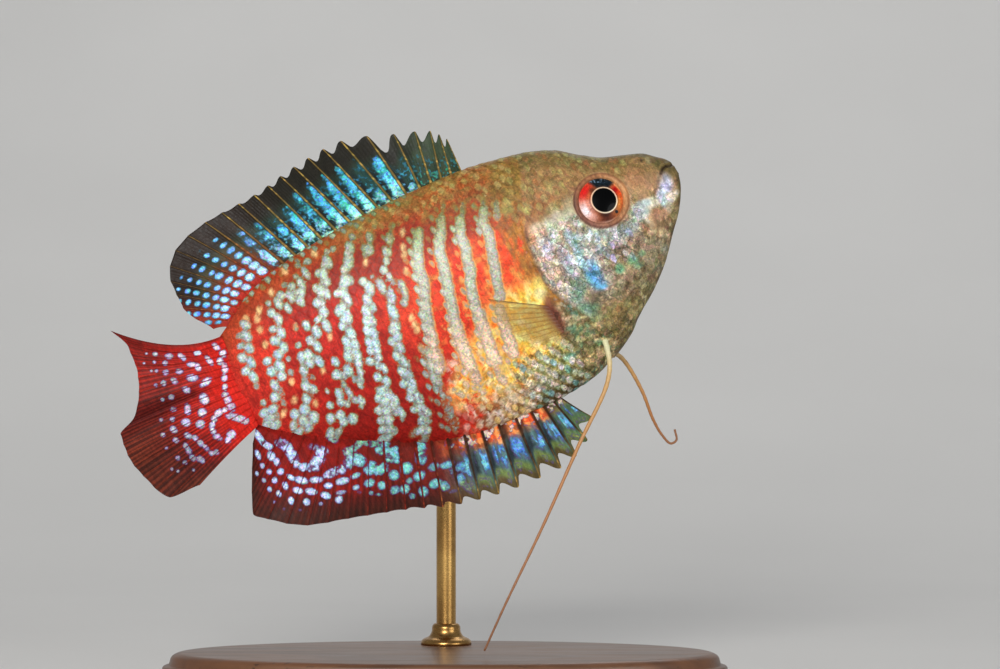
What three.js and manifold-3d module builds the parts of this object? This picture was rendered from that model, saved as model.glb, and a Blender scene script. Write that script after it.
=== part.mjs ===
// A dwarf gourami, life size, swimming nose-up on a plain display stand.
// Millimetres, +Z up. The fish is drawn in a frame of its own (x towards the snout, z towards the back,
// y to its left) and is then pitched nose-up and lifted onto the stand. The origin of the whole is the
// middle of the stand's underside.
import * as THREE from 'three';
import { mergeVertices } from 'three/addons/utils/BufferGeometryUtils.js';
import Module from 'manifold-3d';

const wasm = await Module();
wasm.setup();

// ---------------------------------------------------------------- driving dimensions
const PITCH = THREE.MathUtils.degToRad(22); // nose-up angle of the fish
const FISH_AT = [-5.4, 0, 46.2];            // where the fish's own origin stands over the base
const GAP = 0.3;                            // clearance between neighbouring solids
const SWAY_FROM = 2, SWAY_TO = -38, SWAY = 1.5; // the rear third swings to the left, by this much at the tail's end

// Lines of the body: distance along it, height of the back, of the belly, and half the width.
const LINES = [
  { at: 'tail fin root',   x: -22.3, back: 3.85,  belly: -7.3,   half: 0.6 },
  { at: 'tail stalk',      x: -20.0, back: 5.35,  belly: -9.0,   half: 1.5 },
  { at: 'soft fin rear',   x: -17.0, back: 7.5,   belly: -10.9,  half: 2.3 },
  { at: 'soft fin front',  x: -13.0, back: 9.1,   belly: -12.95, half: 3.05 },
  { at: 'hind flank',      x: -8.0,  back: 10.2,  belly: -15.3,  half: 3.8 },
  { at: 'mid flank',       x: -2.0,  back: 11.1,  belly: -17.6,  half: 4.45 },
  { at: 'deepest',         x: 5.0,   back: 11.65, belly: -18.6,  half: 4.95 },
  { at: 'vent',            x: 12.0,  back: 11.85, belly: -18.35, half: 5.2 },
  { at: 'shoulder',        x: 18.0,  back: 11.35, belly: -17.45, half: 5.2 },
  { at: 'nape',            x: 21.0,  back: 10.85, belly: -16.2,  half: 5.0 },
  { at: 'cheek',           x: 24.0,  back: 9.8,   belly: -14.4,  half: 4.65 },
  { at: 'eye',             x: 26.4,  back: 8.25,  belly: -12.15, half: 4.2 },
  { at: 'brow',            x: 28.8,  back: 6.9,   belly: -10.2,  half: 3.6 },
  { at: 'lower jaw root',  x: 31.4,  back: 6.15,  belly: -7.5,   half: 2.8 },
  { at: 'nostril',         x: 33.6,  back: 5.45,  belly: -4.55,  half: 2.05 },
  { at: 'lip corner',      x: 34.9,  back: 4.5,   belly: -2.85,  half: 1.55 },
  { at: 'lips',            x: 36.0,  back: 3.65,  belly: -0.85,  half: 0.95 },
  { at: 'snout tip',       x: 36.55, back: 2.5,   belly: 0.7,    half: 0.35 },
];
const RING_STEP = 1.5;     // greatest distance between two sections of the body
const RING_POINTS = 24;    // points round a section
const WIDEST = { flank: 0.52, head: 0.57, from: 20, to: 27 }; // height of a section's widest point, from belly to back
const BACK_ROUND = 0.55;   // 0.5 would be an ellipse, more is keener
const BELLY_ROUND = { abdomen: 0.5, keel: 0.72, from: 6, to: 14 };

const EYE = { x: 27.0, z: 1.86, y: 2.35, r: 3.4, bulge: 2.0 };
const GILL_EDGE = [[18.6, 13], [17.2, 4.8], [16.35, 0.2], [16.5, -4.6], [18.4, -8.4], [20.6, -12.4], [21.6, -19]];
const MOUTH = [[38, 2.75], [35.6, 2.95], [34.7, 2.4], [33.5, 0.6], [32.5, -2], [31.4, -5], [30.6, -10.5]];
const OPERCLE = { front: 20.8, top: 2.7, bottom: -7.4, inner: 3.9 };
const STALK_CUT = -17.6;

// Fins: each row is a ray, with the place of its root along the body and the place of its tip.
const DORSAL_RAYS = [
  { n: 0, root: 12.7, tip: [12.5, 15.8] },
  { n: 2, root: 10.0, tip: [11.0, 17.5] },
  { n: 4, root: 7.3, tip: [6.8, 18.8] },
  { n: 6, root: 3.7, tip: [0.6, 20.4] },
  { n: 9, root: -1.9, tip: [-5.8, 19.6] },
  { n: 12, root: -7.7, tip: [-11.5, 18.3] },
  { n: 15, root: -12.7, tip: [-18.2, 17.5] },
  { n: 17, root: -15.2, tip: [-22.8, 15.7] },
  { n: 19, root: -17.3, tip: [-24.7, 12.4] },
  { n: 21, root: -18.8, tip: [-24.5, 8.9] },
  { n: 23, root: -20.2, tip: [-22.1, 5.2] },
];
const DORSAL = { rays: 24, spines: 16 };
const ANAL_RAYS = [
  { n: 0, root: 13.4, tip: [16.1, -21.5] },
  { n: 1, root: 12.5, tip: [14.6, -24.0] },
  { n: 3, root: 9.6, tip: [10.4, -25.9] },
  { n: 5, root: 5.4, tip: [4.8, -26.1] },
  { n: 8, root: -0.9, tip: [-2.3, -25.4] },
  { n: 11, root: -6.4, tip: [-8.8, -23.6] },
  { n: 14, root: -11.3, tip: [-15.6, -22.0] },
  { n: 16, root: -14.1, tip: [-20.4, -20.9] },
  { n: 18, root: -16.6, tip: [-24.6, -18.4] },
  { n: 19, root: -17.8, tip: [-26.0, -17.2] },
  { n: 20, root: -19.0, tip: [-25.2, -14.7] },
  { n: 22, root: -21.6, tip: [-22.9, -9.3] },
];
const ANAL = { rays: 22, spines: 13 };
const TAIL_RAYS = [
  { n: 0, tip: [-33.7, 9.7] },
  { n: 1.5, tip: [-32.5, 7.1] },
  { n: 3, tip: [-32.5, 4.8] },
  { n: 4.5, tip: [-33.0, 2.4] },
  { n: 6.8, tip: [-35.1, -1.1] },
  { n: 8, tip: [-37.3, -2.3] },
  { n: 10, tip: [-37.4, -5.0] },
  { n: 12.5, tip: [-36.3, -8.9] },
  { n: 14, tip: [-34.6, -11.6] },
  { n: 15, tip: [-31.7, -12.1] },
];
const TAIL = { rays: 16, top: 3.7, bottom: -7.2, x: -22.3, sagTop: -1.5, sagBottom: 0.2, fold: 1.1, foldAt: 0.5 };
const RAY_HALF = 0.36, WEB_HALF = 0.25;     // half thickness of a ray and of the web between rays

const PECTORAL = { rays: 9, rootTop: [16.3, -7.3], rootBottom: [16.9, -10.9], tipTop: [9.8, -3.9], tipBottom: [13.2, -10.9], out: 35 };
const FEELER_R = [[20.8, -3.2, -14.6], [20.4, -3.7, -16.4], [19.1, -4.4, -18.6], [13.3, -5.6, -24.0], [5.8, -6.8, -31.2], [-1.8, -7.6, -38.1], [-6.1, -7.6, -42.2]];
const FEELER_L = [[20.9, 3.2, -14.6], [22.2, 3.9, -16.5], [23.0, 5.2, -20.9], [23.0, 6.4, -24.9], [23.3, 7.0, -27.0], [23.9, 7.2, -28.4], [24.7, 7.2, -28.3], [25.0, 7.1, -27.0]];
const FEELER = { root: 0.42, tip: 0.25, steps: 34, sides: 6 };

const BASE = { length: 68, depth: 36, height: 4, chamfer: 1.1, foot: 0.5 };
const ROD = { y: 11, r: 1.2, bend: 3.2, into: 1.7, flange: 2.5, flangeAt: 4.4, flangeThick: 1.1 };
const ROD_AT = { x: 1.2, z: -11.4 };        // where the rod enters the flank, in the fish's frame

// ---------------------------------------------------------------- curves
// A smooth curve through given heights that never overshoots them.
function through(xs, ys) {
  const n = xs.length, d = [], m = [];
  for (let i = 0; i < n - 1; i++) d.push((ys[i + 1] - ys[i]) / (xs[i + 1] - xs[i]));
  m.push(d[0]);
  for (let i = 1; i < n - 1; i++) {
    const h0 = xs[i] - xs[i - 1], h1 = xs[i + 1] - xs[i];
    m.push(d[i - 1] * d[i] <= 0 ? 0 : (3 * (h0 + h1)) / ((2 * h1 + h0) / d[i - 1] + (h1 + 2 * h0) / d[i]));
  }
  m.push(d[n - 2]);
  return (x) => {
    const q = Math.min(Math.max(x, xs[0]), xs[n - 1]);
    let i = 0;
    while (i < n - 2 && q > xs[i + 1]) i++;
    const h = xs[i + 1] - xs[i], t = (q - xs[i]) / h;
    return ys[i] * (1 + 2 * t) * (1 - t) ** 2 + m[i] * h * t * (1 - t) ** 2
      + ys[i + 1] * t * t * (3 - 2 * t) + m[i + 1] * h * t * t * (t - 1);
  };
}
const column = (rows, get) => through(rows.map((r) => r.x ?? r.n), rows.map(get));
const backAt = column(LINES, (r) => r.back);
const bellyAt = column(LINES, (r) => r.belly);
const halfAt = column(LINES, (r) => r.half);
const ease = (a, b, x) => { const t = Math.min(Math.max((x - a) / (b - a), 0), 1); return t * t * (3 - 2 * t); };
const mix = (a, b, t) => a + (b - a) * t;
const swayAt = (x) => SWAY * Math.max(0, (SWAY_FROM - x) / (SWAY_FROM - SWAY_TO)) ** 2;

// Half the body's width at a height, from belly (0) to back (1) of the section at x.
function flankAt(x, s) {
  const widest = mix(WIDEST.flank, WIDEST.head, ease(WIDEST.from, WIDEST.to, x));
  const u = s < widest ? s / widest : (1 - s) / (1 - widest);
  const keen = s < widest ? mix(BELLY_ROUND.keel, BELLY_ROUND.abdomen, ease(BELLY_ROUND.from, BELLY_ROUND.to, x)) : BACK_ROUND;
  return halfAt(x) * Math.max(0, 1 - (1 - u) ** 2) ** keen;
}
const flank = (x, z) => flankAt(x, Math.min(Math.max((z - bellyAt(x)) / (backAt(x) - bellyAt(x)), 0), 1));

// ---------------------------------------------------------------- solids
function closed(points, faces) {
  const g = new THREE.BufferGeometry();
  g.setAttribute('position', new THREE.Float32BufferAttribute(points.flat(), 3));
  let volume = 0;
  for (const [a, b, c] of faces) {
    const [p, q, r] = [points[a], points[b], points[c]];
    volume += p[0] * (q[1] * r[2] - q[2] * r[1]) - p[1] * (q[0] * r[2] - q[2] * r[0]) + p[2] * (q[0] * r[1] - q[1] * r[0]);
  }
  g.setIndex((volume < 0 ? faces.map(([a, b, c]) => [a, c, b]) : faces).flat());
  return g;
}
// Skin over a row of rings with equally many points, closed at both ends.
function loft(rings) {
  const k = rings[0].length, points = rings.flat(), faces = [];
  const middle = (ring) => ring.reduce((m, p) => m.map((v, i) => v + p[i] / k), [0, 0, 0]);
  for (let i = 0; i < rings.length - 1; i++)
    for (let j = 0; j < k; j++) {
      const a = i * k + j, b = i * k + (j + 1) % k;
      faces.push([a, b, b + k], [a, b + k, a + k]);
    }
  for (const [end, flip] of [[0, true], [rings.length - 1, false]]) {
    points.push(middle(rings[end]));
    for (let j = 0; j < k; j++) {
      const a = end * k + j, b = end * k + (j + 1) % k;
      faces.push(flip ? [points.length - 1, b, a] : [points.length - 1, a, b]);
    }
  }
  return closed(points, faces);
}
// A plate with a middle surface at(u, v) and a half thickness, closed round its four edges.
function plate(us, vs, at, half, side) {
  const nu = us.length, nv = vs.length, points = [], faces = [];
  for (const sign of [-1, 1])
    for (const u of us) for (const v of vs) {
      const p = at(u, v), h = half(u, v) * sign, n = side(u, v);
      points.push([p[0] + n[0] * h, p[1] + n[1] * h, p[2] + n[2] * h]);
    }
  const id = (s, i, j) => s * nu * nv + i * nv + j;
  for (let i = 0; i < nu - 1; i++)
    for (let j = 0; j < nv - 1; j++) {
      faces.push([id(0, i, j), id(0, i + 1, j), id(0, i + 1, j + 1)], [id(0, i, j), id(0, i + 1, j + 1), id(0, i, j + 1)]);
      faces.push([id(1, i, j), id(1, i + 1, j + 1), id(1, i + 1, j)], [id(1, i, j), id(1, i, j + 1), id(1, i + 1, j + 1)]);
    }
  const rim = [];
  for (let i = 0; i < nu; i++) rim.push([i, 0]);
  for (let j = 1; j < nv; j++) rim.push([nu - 1, j]);
  for (let i = nu - 2; i >= 0; i--) rim.push([i, nv - 1]);
  for (let j = nv - 2; j > 0; j--) rim.push([0, j]);
  for (let r = 0; r < rim.length; r++) {
    const [a, b] = [rim[r], rim[(r + 1) % rim.length]];
    faces.push([id(0, ...a), id(1, ...a), id(1, ...b)], [id(0, ...a), id(1, ...b), id(0, ...b)]);
  }
  return closed(points, faces);
}
function solid(geometry) {
  const g = geometry.clone();
  for (const name of Object.keys(g.attributes)) if (name !== 'position') g.deleteAttribute(name);
  const m = mergeVertices(g, 1e-4);
  return new wasm.Manifold(new wasm.Mesh({ numProp: 3, vertProperties: Float32Array.from(m.attributes.position.array), triVerts: Uint32Array.from(m.index.array) }));
}
function geometry(body) {
  const mesh = body.getMesh();
  const g = new THREE.BufferGeometry();
  g.setAttribute('position', new THREE.BufferAttribute(new Float32Array(mesh.vertProperties), 3));
  g.setIndex(new THREE.BufferAttribute(new Uint32Array(mesh.triVerts), 1));
  return g;
}
// A thin wall across the fish, of a given thickness, along a curve drawn in side view.
function wall(line, thick) {
  const curve = new THREE.CatmullRomCurve3(line.map(([x, z]) => new THREE.Vector3(x, z, 0)), false, 'centripetal');
  const steps = 16, left = [], right = [];
  for (let i = 0; i <= steps; i++) {
    const p = curve.getPoint(i / steps), t = curve.getTangent(i / steps);
    left.push(new THREE.Vector2(p.x - t.y * thick / 2, p.y + t.x * thick / 2));
    right.unshift(new THREE.Vector2(p.x + t.y * thick / 2, p.y - t.x * thick / 2));
  }
  return upright(new THREE.Shape([...left, ...right]), -12, 12);
}
// A shape drawn in side view (x, z), extruded across the fish from y0 to y1.
function upright(shape, y0, y1) {
  const g = new THREE.ExtrudeGeometry(shape, { depth: y1 - y0, bevelEnabled: false });
  g.applyMatrix4(new THREE.Matrix4().makeRotationX(Math.PI / 2));
  g.translate(0, y1, 0);
  return solid(g);
}
const boxed = (x0, x1, z0, z1, y0, y1) => upright(new THREE.Shape([[x0, z0], [x1, z0], [x1, z1], [x0, z1]].map((p) => new THREE.Vector2(...p))), y0, y1);
const halves = (body) => body.decompose().sort((a, b) => b.volume() - a.volume());

// ---------------------------------------------------------------- body
function bodyRings(grow) {
  const xs = [];
  for (let i = 0; i < LINES.length - 1; i++) {
    const a = LINES[i].x, b = LINES[i + 1].x, steps = Math.ceil((b - a) / RING_STEP);
    for (let k = 0; k < steps; k++) xs.push(a + (b - a) * k / steps);
  }
  xs.push(LINES.at(-1).x);
  return xs.map((x, i) => {
    const ring = [], half = RING_POINTS / 2, lean = i === 0 ? -grow : i === xs.length - 1 ? grow : 0;
    for (let j = 0; j < RING_POINTS; j++) {
      const k = j <= half ? j : RING_POINTS - j, s = 0.5 - 0.5 * Math.cos(Math.PI * k / half);
      const y = flankAt(x, s) + grow * Math.sin(Math.PI * k / half);
      ring.push([x + lean, (j <= half ? -y : y) + swayAt(x), mix(bellyAt(x) - grow, backAt(x) + grow, s)]);
    }
    return ring;
  });
}
const ball = (grow, sign) => {
  const g = new THREE.SphereGeometry(1, 18, 10);
  g.scale(EYE.r + grow, EYE.bulge + grow, EYE.r + grow);
  g.translate(EYE.x, sign * EYE.y, EYE.z);
  return g;
};

const toWorld = new THREE.Matrix4().makeRotationY(-PITCH).setPosition(...FISH_AT);
const toFish = toWorld.clone().invert();
const rodHeight = new THREE.Vector3(ROD_AT.x, 0, ROD_AT.z).applyMatrix4(toWorld);

// The rod: up from the base behind the fish, round one bend and level into its far flank, with a small flange outside it.
function rod(grow, from) {
  const centre = [], R = ROD.bend, top = rodHeight.z;
  centre.push([[ROD.y, from], [0, 1]], [[ROD.y, top - R], [0, 1]]);
  for (let i = 1; i <= 6; i++) {
    const a = (i / 6) * Math.PI / 2;
    centre.push([[ROD.y - R + R * Math.cos(a), top - R + R * Math.sin(a)], [-Math.sin(a), Math.cos(a)]]);
  }
  const f0 = ROD.flangeAt + ROD.flangeThick, f1 = ROD.flangeAt;
  const radii = centre.map(() => ROD.r);
  for (const [y, r] of [[f0, ROD.r], [f0 - 0.01, ROD.flange], [f1, ROD.flange], [f1 - 0.01, ROD.r], [ROD.into - grow, ROD.r]]) {
    centre.push([[y, top], [-1, 0]]);
    radii.push(r);
  }
  return loft(centre.map(([[y, z], [ty, tz]], i) => Array.from({ length: 16 }, (_, k) => {
    const a = (k / 16) * 2 * Math.PI, r = radii[i] + grow;
    return [rodHeight.x + Math.cos(a) * r, y - tz * Math.sin(a) * r, z + ty * Math.sin(a) * r];
  })));
}

let body = solid(loft(bodyRings(0)));
for (const sign of [-1, 1]) body = body.subtract(solid(ball(GAP, sign)));
body = body.subtract(solid(rod(GAP, 0).applyMatrix4(toFish)));
const [rear, head0] = halves(body.subtract(wall(GILL_EDGE, GAP)));
const [trunk, stalk] = halves(rear.subtract(boxed(STALK_CUT - GAP / 2, STALK_CUT + GAP / 2, -20, 20, -12, 12)));
const [head1, jaw] = halves(head0.subtract(wall(MOUTH, GAP)));
// A gill cover is the outer layer of the cheek behind the eye, down to a flat inner face.
function coverShape(grow) {
  const { front, top, bottom } = OPERCLE, s = new THREE.Shape();
  s.moveTo(12, top + grow);
  s.lineTo(front - 1.6, top + grow);
  s.quadraticCurveTo(front + grow, top + grow, front + grow, top - 2);
  s.lineTo(front + 0.2 + grow, bottom + 2);
  s.quadraticCurveTo(front + grow, bottom - grow, front - 2, bottom - 0.6 - grow);
  s.lineTo(12, bottom - 0.6 - grow);
  s.closePath();
  return s;
}
let head = head1;
const covers = {};
for (const [side, sign] of [['r', -1], ['l', 1]]) {
  const span = (inner) => (sign < 0 ? [-12, -inner] : [inner, 12]);
  covers[side] = halves(head1.intersect(upright(coverShape(0), ...span(OPERCLE.inner))))[0];
  head = head.subtract(upright(coverShape(GAP), ...span(OPERCLE.inner - GAP)));
}
head = halves(head)[0];

// ---------------------------------------------------------------- fins
const range = (n, f) => Array.from({ length: n }, (_, i) => f(i));
const across = () => [0, 1, 0];
// Rays and the webs between them take turns along u, so a fin of n rays has 2n - 1 columns.
const isRay = (u) => Math.abs(u - Math.round(u)) < 1e-6;
const finThick = (u, v) => (isRay(u) ? mix(RAY_HALF, WEB_HALF, v * v) : WEB_HALF);

function edgeFin(rows, spec, line, sign, notch, wave) {
  const root = column(rows, (r) => r.root), tx = column(rows, (r) => r.tip[0]), tz = column(rows, (r) => r.tip[1]);
  const us = range(2 * rows.at(-1).n + 1, (i) => i / 2).filter((u) => u <= spec.rays);
  const vs = [0, 0.3, 0.65, 0.88, 1];
  return plate(us, vs, (u, v) => {
    const bx = root(u), bz = line(bx) + sign * GAP;
    const cut = isRay(u) ? 1 : 1 - notch(u) / Math.hypot(tx(u) - bx, tz(u) - bz);
    const q = v * cut, x = mix(bx, tx(u), q);
    const bow = 0.5 * sign * q * (1 - q);
    return [x, swayAt(x) + wave(u) * q * q, mix(bz, tz(u), q) + bow];
  }, finThick, across);
}
const dorsal = edgeFin(DORSAL_RAYS, DORSAL, backAt, 1,
  (u) => mix(1.1, 0.12, ease(2, DORSAL.spines, u)) + 1.0 * Math.exp(-(((u - 4.5) / 0.6) ** 2)),
  (u) => 0.5 * Math.sin(u * 0.55));
const anal = edgeFin(ANAL_RAYS, ANAL, bellyAt, -1,
  (u) => mix(1.7, 0.1, ease(1, ANAL.spines, u)),
  (u) => 0.6 * Math.sin(u * 0.6 + 1));

const tailX = column(TAIL_RAYS, (r) => r.tip[0]), tailZ = column(TAIL_RAYS, (r) => r.tip[1]);
const tail = plate(range(2 * TAIL.rays - 1, (i) => i / 2), [0, 0.25, 0.5, 0.78, 1], (u, v) => {
  const t = u / (TAIL.rays - 1), bz = mix(TAIL.top, TAIL.bottom, t), bx = TAIL.x - GAP;
  const q = isRay(u) ? v : v * 0.985;
  const sag = 4 * q * (1 - q) * mix(TAIL.sagTop, TAIL.sagBottom, ease(0, 0.35, t));
  const fold = -TAIL.fold * Math.exp(-(((t - TAIL.foldAt) / 0.09) ** 2)) + 0.5 * Math.sin(t * 9);
  const x = mix(bx, tailX(u), q);
  return [x, swayAt(x) + fold * q, mix(bz, tailZ(u), q) + sag];
}, finThick, across);

function pectoral(sign) {
  const p = PECTORAL, lean = THREE.MathUtils.degToRad(p.out), n = 2 * p.rays - 1;
  const side = [Math.sin(lean), sign * Math.cos(lean), 0];
  return plate(range(n, (i) => i / 2), [0, 0.3, 0.6, 0.85, 1], (u, v) => {
    const t = u / (p.rays - 1), q = isRay(u) ? v : v * 0.97;
    const bx = mix(p.rootTop[0], p.rootBottom[0], t), bz = mix(p.rootTop[1], p.rootBottom[1], t);
    const round = Math.sin(Math.PI * t) * 1.1;
    const ex = mix(p.tipTop[0], p.tipBottom[0], t) - round, ez = mix(p.tipTop[1], p.tipBottom[1], t) - round * 0.3;
    const x = mix(bx - 0.4, ex, q);
    const y = flank(bx, bz) + GAP + WEB_HALF + 0.35 + (bx - x) * Math.tan(lean);
    return [x, sign * y, mix(bz, ez, q)];
  }, (u, v) => (isRay(u) ? mix(0.32, WEB_HALF, v) : WEB_HALF), () => side);
}

function feeler(line) {
  const curve = new THREE.CatmullRomCurve3(line.map((p) => new THREE.Vector3(...p)), false, 'centripetal');
  const frames = curve.computeFrenetFrames(FEELER.steps, false);
  return loft(range(FEELER.steps + 1, (i) => {
    const t = i / FEELER.steps, p = curve.getPointAt(t), r = FEELER.tip + (FEELER.root - FEELER.tip) * (1 - t) ** 2;
    return range(FEELER.sides, (k) => {
      const a = (k / FEELER.sides) * 2 * Math.PI, n = frames.normals[i], b = frames.binormals[i];
      return [0, 1, 2].map((c) => p.getComponent(c) + r * (Math.cos(a) * n.getComponent(c) + Math.sin(a) * b.getComponent(c)));
    });
  }));
}

// ---------------------------------------------------------------- stand
function base() {
  const { length, height: h, chamfer: c, foot } = BASE, r = length / 2;
  const profile = [[0, 0], [r - foot, 0], [r, foot], [r, h - c], [r - c, h], [0, h]].map((p) => new THREE.Vector2(...p));
  const g = new THREE.LatheGeometry(profile, 48);
  g.applyMatrix4(new THREE.Matrix4().makeRotationX(Math.PI / 2));
  g.scale(1, BASE.depth / length, 1);
  return solid(g).subtract(solid(rod(GAP, 0.9)));
}

// ---------------------------------------------------------------- scene graph
const finish = (color, roughness, metalness = 0) => new THREE.MeshStandardMaterial({ color, roughness, metalness });
const looks = {
  flank: finish('#b5482c', 0.4),
  cheek: finish('#b39a72', 0.38),
  jaw: finish('#b8b0a4', 0.4),
  fin: finish('#7a4a34', 0.45),
  anal: finish('#8a2f22', 0.45),
  clear: finish('#b8863e', 0.4),
  feeler: finish('#a8743c', 0.5),
  eye: finish('#150f10', 0.08),
  wood: finish('#2c2320', 0.4),
  rod: finish('#b0863c', 0.28, 1),
};
const group = new THREE.Group();
const fish = new THREE.Group();
fish.position.set(...FISH_AT);
fish.rotation.y = -PITCH;
group.add(fish);
const add = (to, name, shape, look) => {
  const mesh = new THREE.Mesh(shape, look);
  mesh.name = name;
  to.add(mesh);
};
add(fish, 'head', geometry(head), looks.cheek);
add(fish, 'lower_jaw', geometry(jaw), looks.jaw);
add(fish, 'gill_cover_r', geometry(covers.r), looks.cheek);
add(fish, 'gill_cover_l', geometry(covers.l), looks.cheek);
add(fish, 'eye_r', ball(0, -1), looks.eye);
add(fish, 'eye_l', ball(0, 1), looks.eye);
add(fish, 'trunk', geometry(trunk), looks.flank);
add(fish, 'tail_stalk', geometry(stalk), looks.flank);
add(fish, 'dorsal_fin', dorsal, looks.fin);
add(fish, 'anal_fin', anal, looks.anal);
add(fish, 'tail_fin', tail, looks.anal);
add(fish, 'pectoral_fin_r', pectoral(-1), looks.clear);
add(fish, 'pectoral_fin_l', pectoral(1), looks.clear);
add(fish, 'pelvic_feeler_r', feeler(FEELER_R), looks.feeler);
add(fish, 'pelvic_feeler_l', feeler(FEELER_L), looks.feeler);
add(group, 'stand_base', geometry(base()), looks.wood);
add(group, 'stand_rod', rod(0, 1.2), looks.rod);
export default group;
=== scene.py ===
# A dwarf gourami, life size, on its display stand: skin, scales, fins, eyes and their markings, around the solids' frame.
import math

import bpy
import numpy as np
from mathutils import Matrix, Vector


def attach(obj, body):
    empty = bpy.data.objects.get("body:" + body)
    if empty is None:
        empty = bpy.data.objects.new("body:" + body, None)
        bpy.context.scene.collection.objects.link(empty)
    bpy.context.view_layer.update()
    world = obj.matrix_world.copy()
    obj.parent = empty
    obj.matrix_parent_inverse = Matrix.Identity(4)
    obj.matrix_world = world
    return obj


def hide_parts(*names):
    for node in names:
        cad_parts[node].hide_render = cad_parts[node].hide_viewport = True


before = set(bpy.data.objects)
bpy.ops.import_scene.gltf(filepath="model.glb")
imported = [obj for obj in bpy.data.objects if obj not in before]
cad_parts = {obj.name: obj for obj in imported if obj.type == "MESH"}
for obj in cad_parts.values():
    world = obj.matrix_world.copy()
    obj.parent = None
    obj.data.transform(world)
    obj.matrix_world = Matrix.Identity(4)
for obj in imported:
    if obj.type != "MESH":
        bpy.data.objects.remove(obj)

# ---------------------------------------------------------------- sizes, in millimetres, in the fish's own frame
# x runs towards the snout, z towards the back and y to the fish's left. The fish is pitched nose-up and lifted onto its stand.
PITCH = math.radians(22)
FISH_AT = (-5.4, 0.0, 46.2)
PX = 0.12            # millimetres in one unit of the drawing that the markings are laid out in
SWAY_FROM, SWAY_TO, SWAY = 2.0, -38.0, 1.5

LINES = [  # x, back, belly, half width
    (-23.6, 3.10, -6.60, 0.12),
    (-22.3, 3.85, -7.30, 0.60),
    (-20.0, 5.35, -9.00, 1.50),
    (-17.0, 7.50, -10.90, 2.30),
    (-13.0, 9.10, -12.95, 3.05),
    (-8.0, 10.20, -15.30, 3.80),
    (-2.0, 11.10, -17.60, 4.45),
    (5.0, 11.65, -18.60, 4.95),
    (12.0, 11.85, -18.35, 5.20),
    (18.0, 11.35, -17.45, 5.20),
    (21.0, 10.85, -16.20, 5.00),
    (24.0, 9.80, -14.40, 4.65),
    (26.4, 8.25, -12.15, 4.20),
    (28.8, 6.90, -10.20, 3.60),
    (31.4, 6.15, -7.50, 2.80),
    (33.6, 5.45, -4.55, 2.05),
    (34.9, 4.50, -2.85, 1.55),
    (36.0, 3.65, -0.85, 0.95),
    (36.5, 2.75, 0.50, 0.42),
    (36.64, 2.0, 1.3, 0.10),
]
GILL_EDGE = [(-19, 21.6), (-12.4, 20.6), (-8.4, 18.4), (-4.6, 16.5), (0.2, 16.35), (4.8, 17.2), (13, 18.6)]  # height, x
EYE = dict(x=26.74, z=1.97, y=2.35, r=3.4, bulge=2.0, open=2.72)

DORSAL_RAYS = [(0, 12.7, 12.5, 15.8), (2, 10.0, 11.0, 17.5), (4, 7.3, 6.8, 18.8), (6, 3.7, 0.6, 20.4), (9, -1.9, -5.8, 19.6),
               (12, -7.7, -11.5, 18.3), (15, -12.7, -18.2, 17.5), (17, -15.2, -22.8, 15.7), (19, -17.3, -24.7, 12.4),
               (21, -18.8, -24.5, 8.9), (23, -20.2, -22.1, 5.2)]
ANAL_RAYS = [(0, 13.4, 16.1, -21.5), (1, 12.5, 14.6, -24.0), (3, 9.6, 10.4, -25.9), (5, 5.4, 4.8, -26.1), (8, -0.9, -2.3, -25.4),
             (11, -6.4, -8.8, -23.6), (14, -11.3, -15.6, -22.0), (16, -14.1, -20.4, -20.9), (18, -16.6, -24.6, -18.4),
             (19, -17.8, -26.0, -17.2), (20, -19.0, -25.2, -14.7), (22, -21.6, -22.9, -9.3)]
TAIL_RAYS = [(0, -33.7, 9.7), (1.5, -32.5, 7.1), (3, -32.5, 4.8), (4.5, -33.0, 2.4), (6.8, -35.1, -1.1), (8, -37.3, -2.3),
             (10, -37.4, -5.0), (12.5, -36.3, -8.9), (14, -34.6, -11.6), (15, -31.7, -12.1)]
TAIL = dict(rays=16, top=3.7, bottom=-7.2, x=-22.3, sag_top=-1.5, sag_bottom=0.2, fold=1.1, fold_at=0.5)
PECTORAL = dict(rays=9, root_top=(16.3, -7.3), root_bottom=(16.9, -10.9), tip_top=(9.8, -3.9), tip_bottom=(13.2, -10.9), out=35)
FEELER_R = [(21.0, -2.0, -12.9), (20.8, -3.2, -14.6), (20.4, -3.7, -16.4), (19.1, -4.4, -18.6), (13.3, -5.6, -24.0), (5.8, -6.8, -31.2), (-1.8, -7.6, -38.1), (-6.1, -7.6, -42.2)]
FEELER_L = [(20.6, 2.0, -12.9), (20.9, 3.2, -14.6), (22.2, 3.9, -16.5), (23.0, 5.2, -20.9), (23.0, 6.4, -24.9), (23.3, 7.0, -27.0), (23.9, 7.2, -28.4), (24.7, 7.2, -28.3), (25.0, 7.1, -27.0)]
BASE = dict(length=68.0, depth=36.0, height=4.0)
ROD = dict(y=11.0, r=1.2, bend=3.2, into=1.7, flange=2.5, flange_at=4.4, flange_thick=1.1, x=1.2, z=-11.4)


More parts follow.
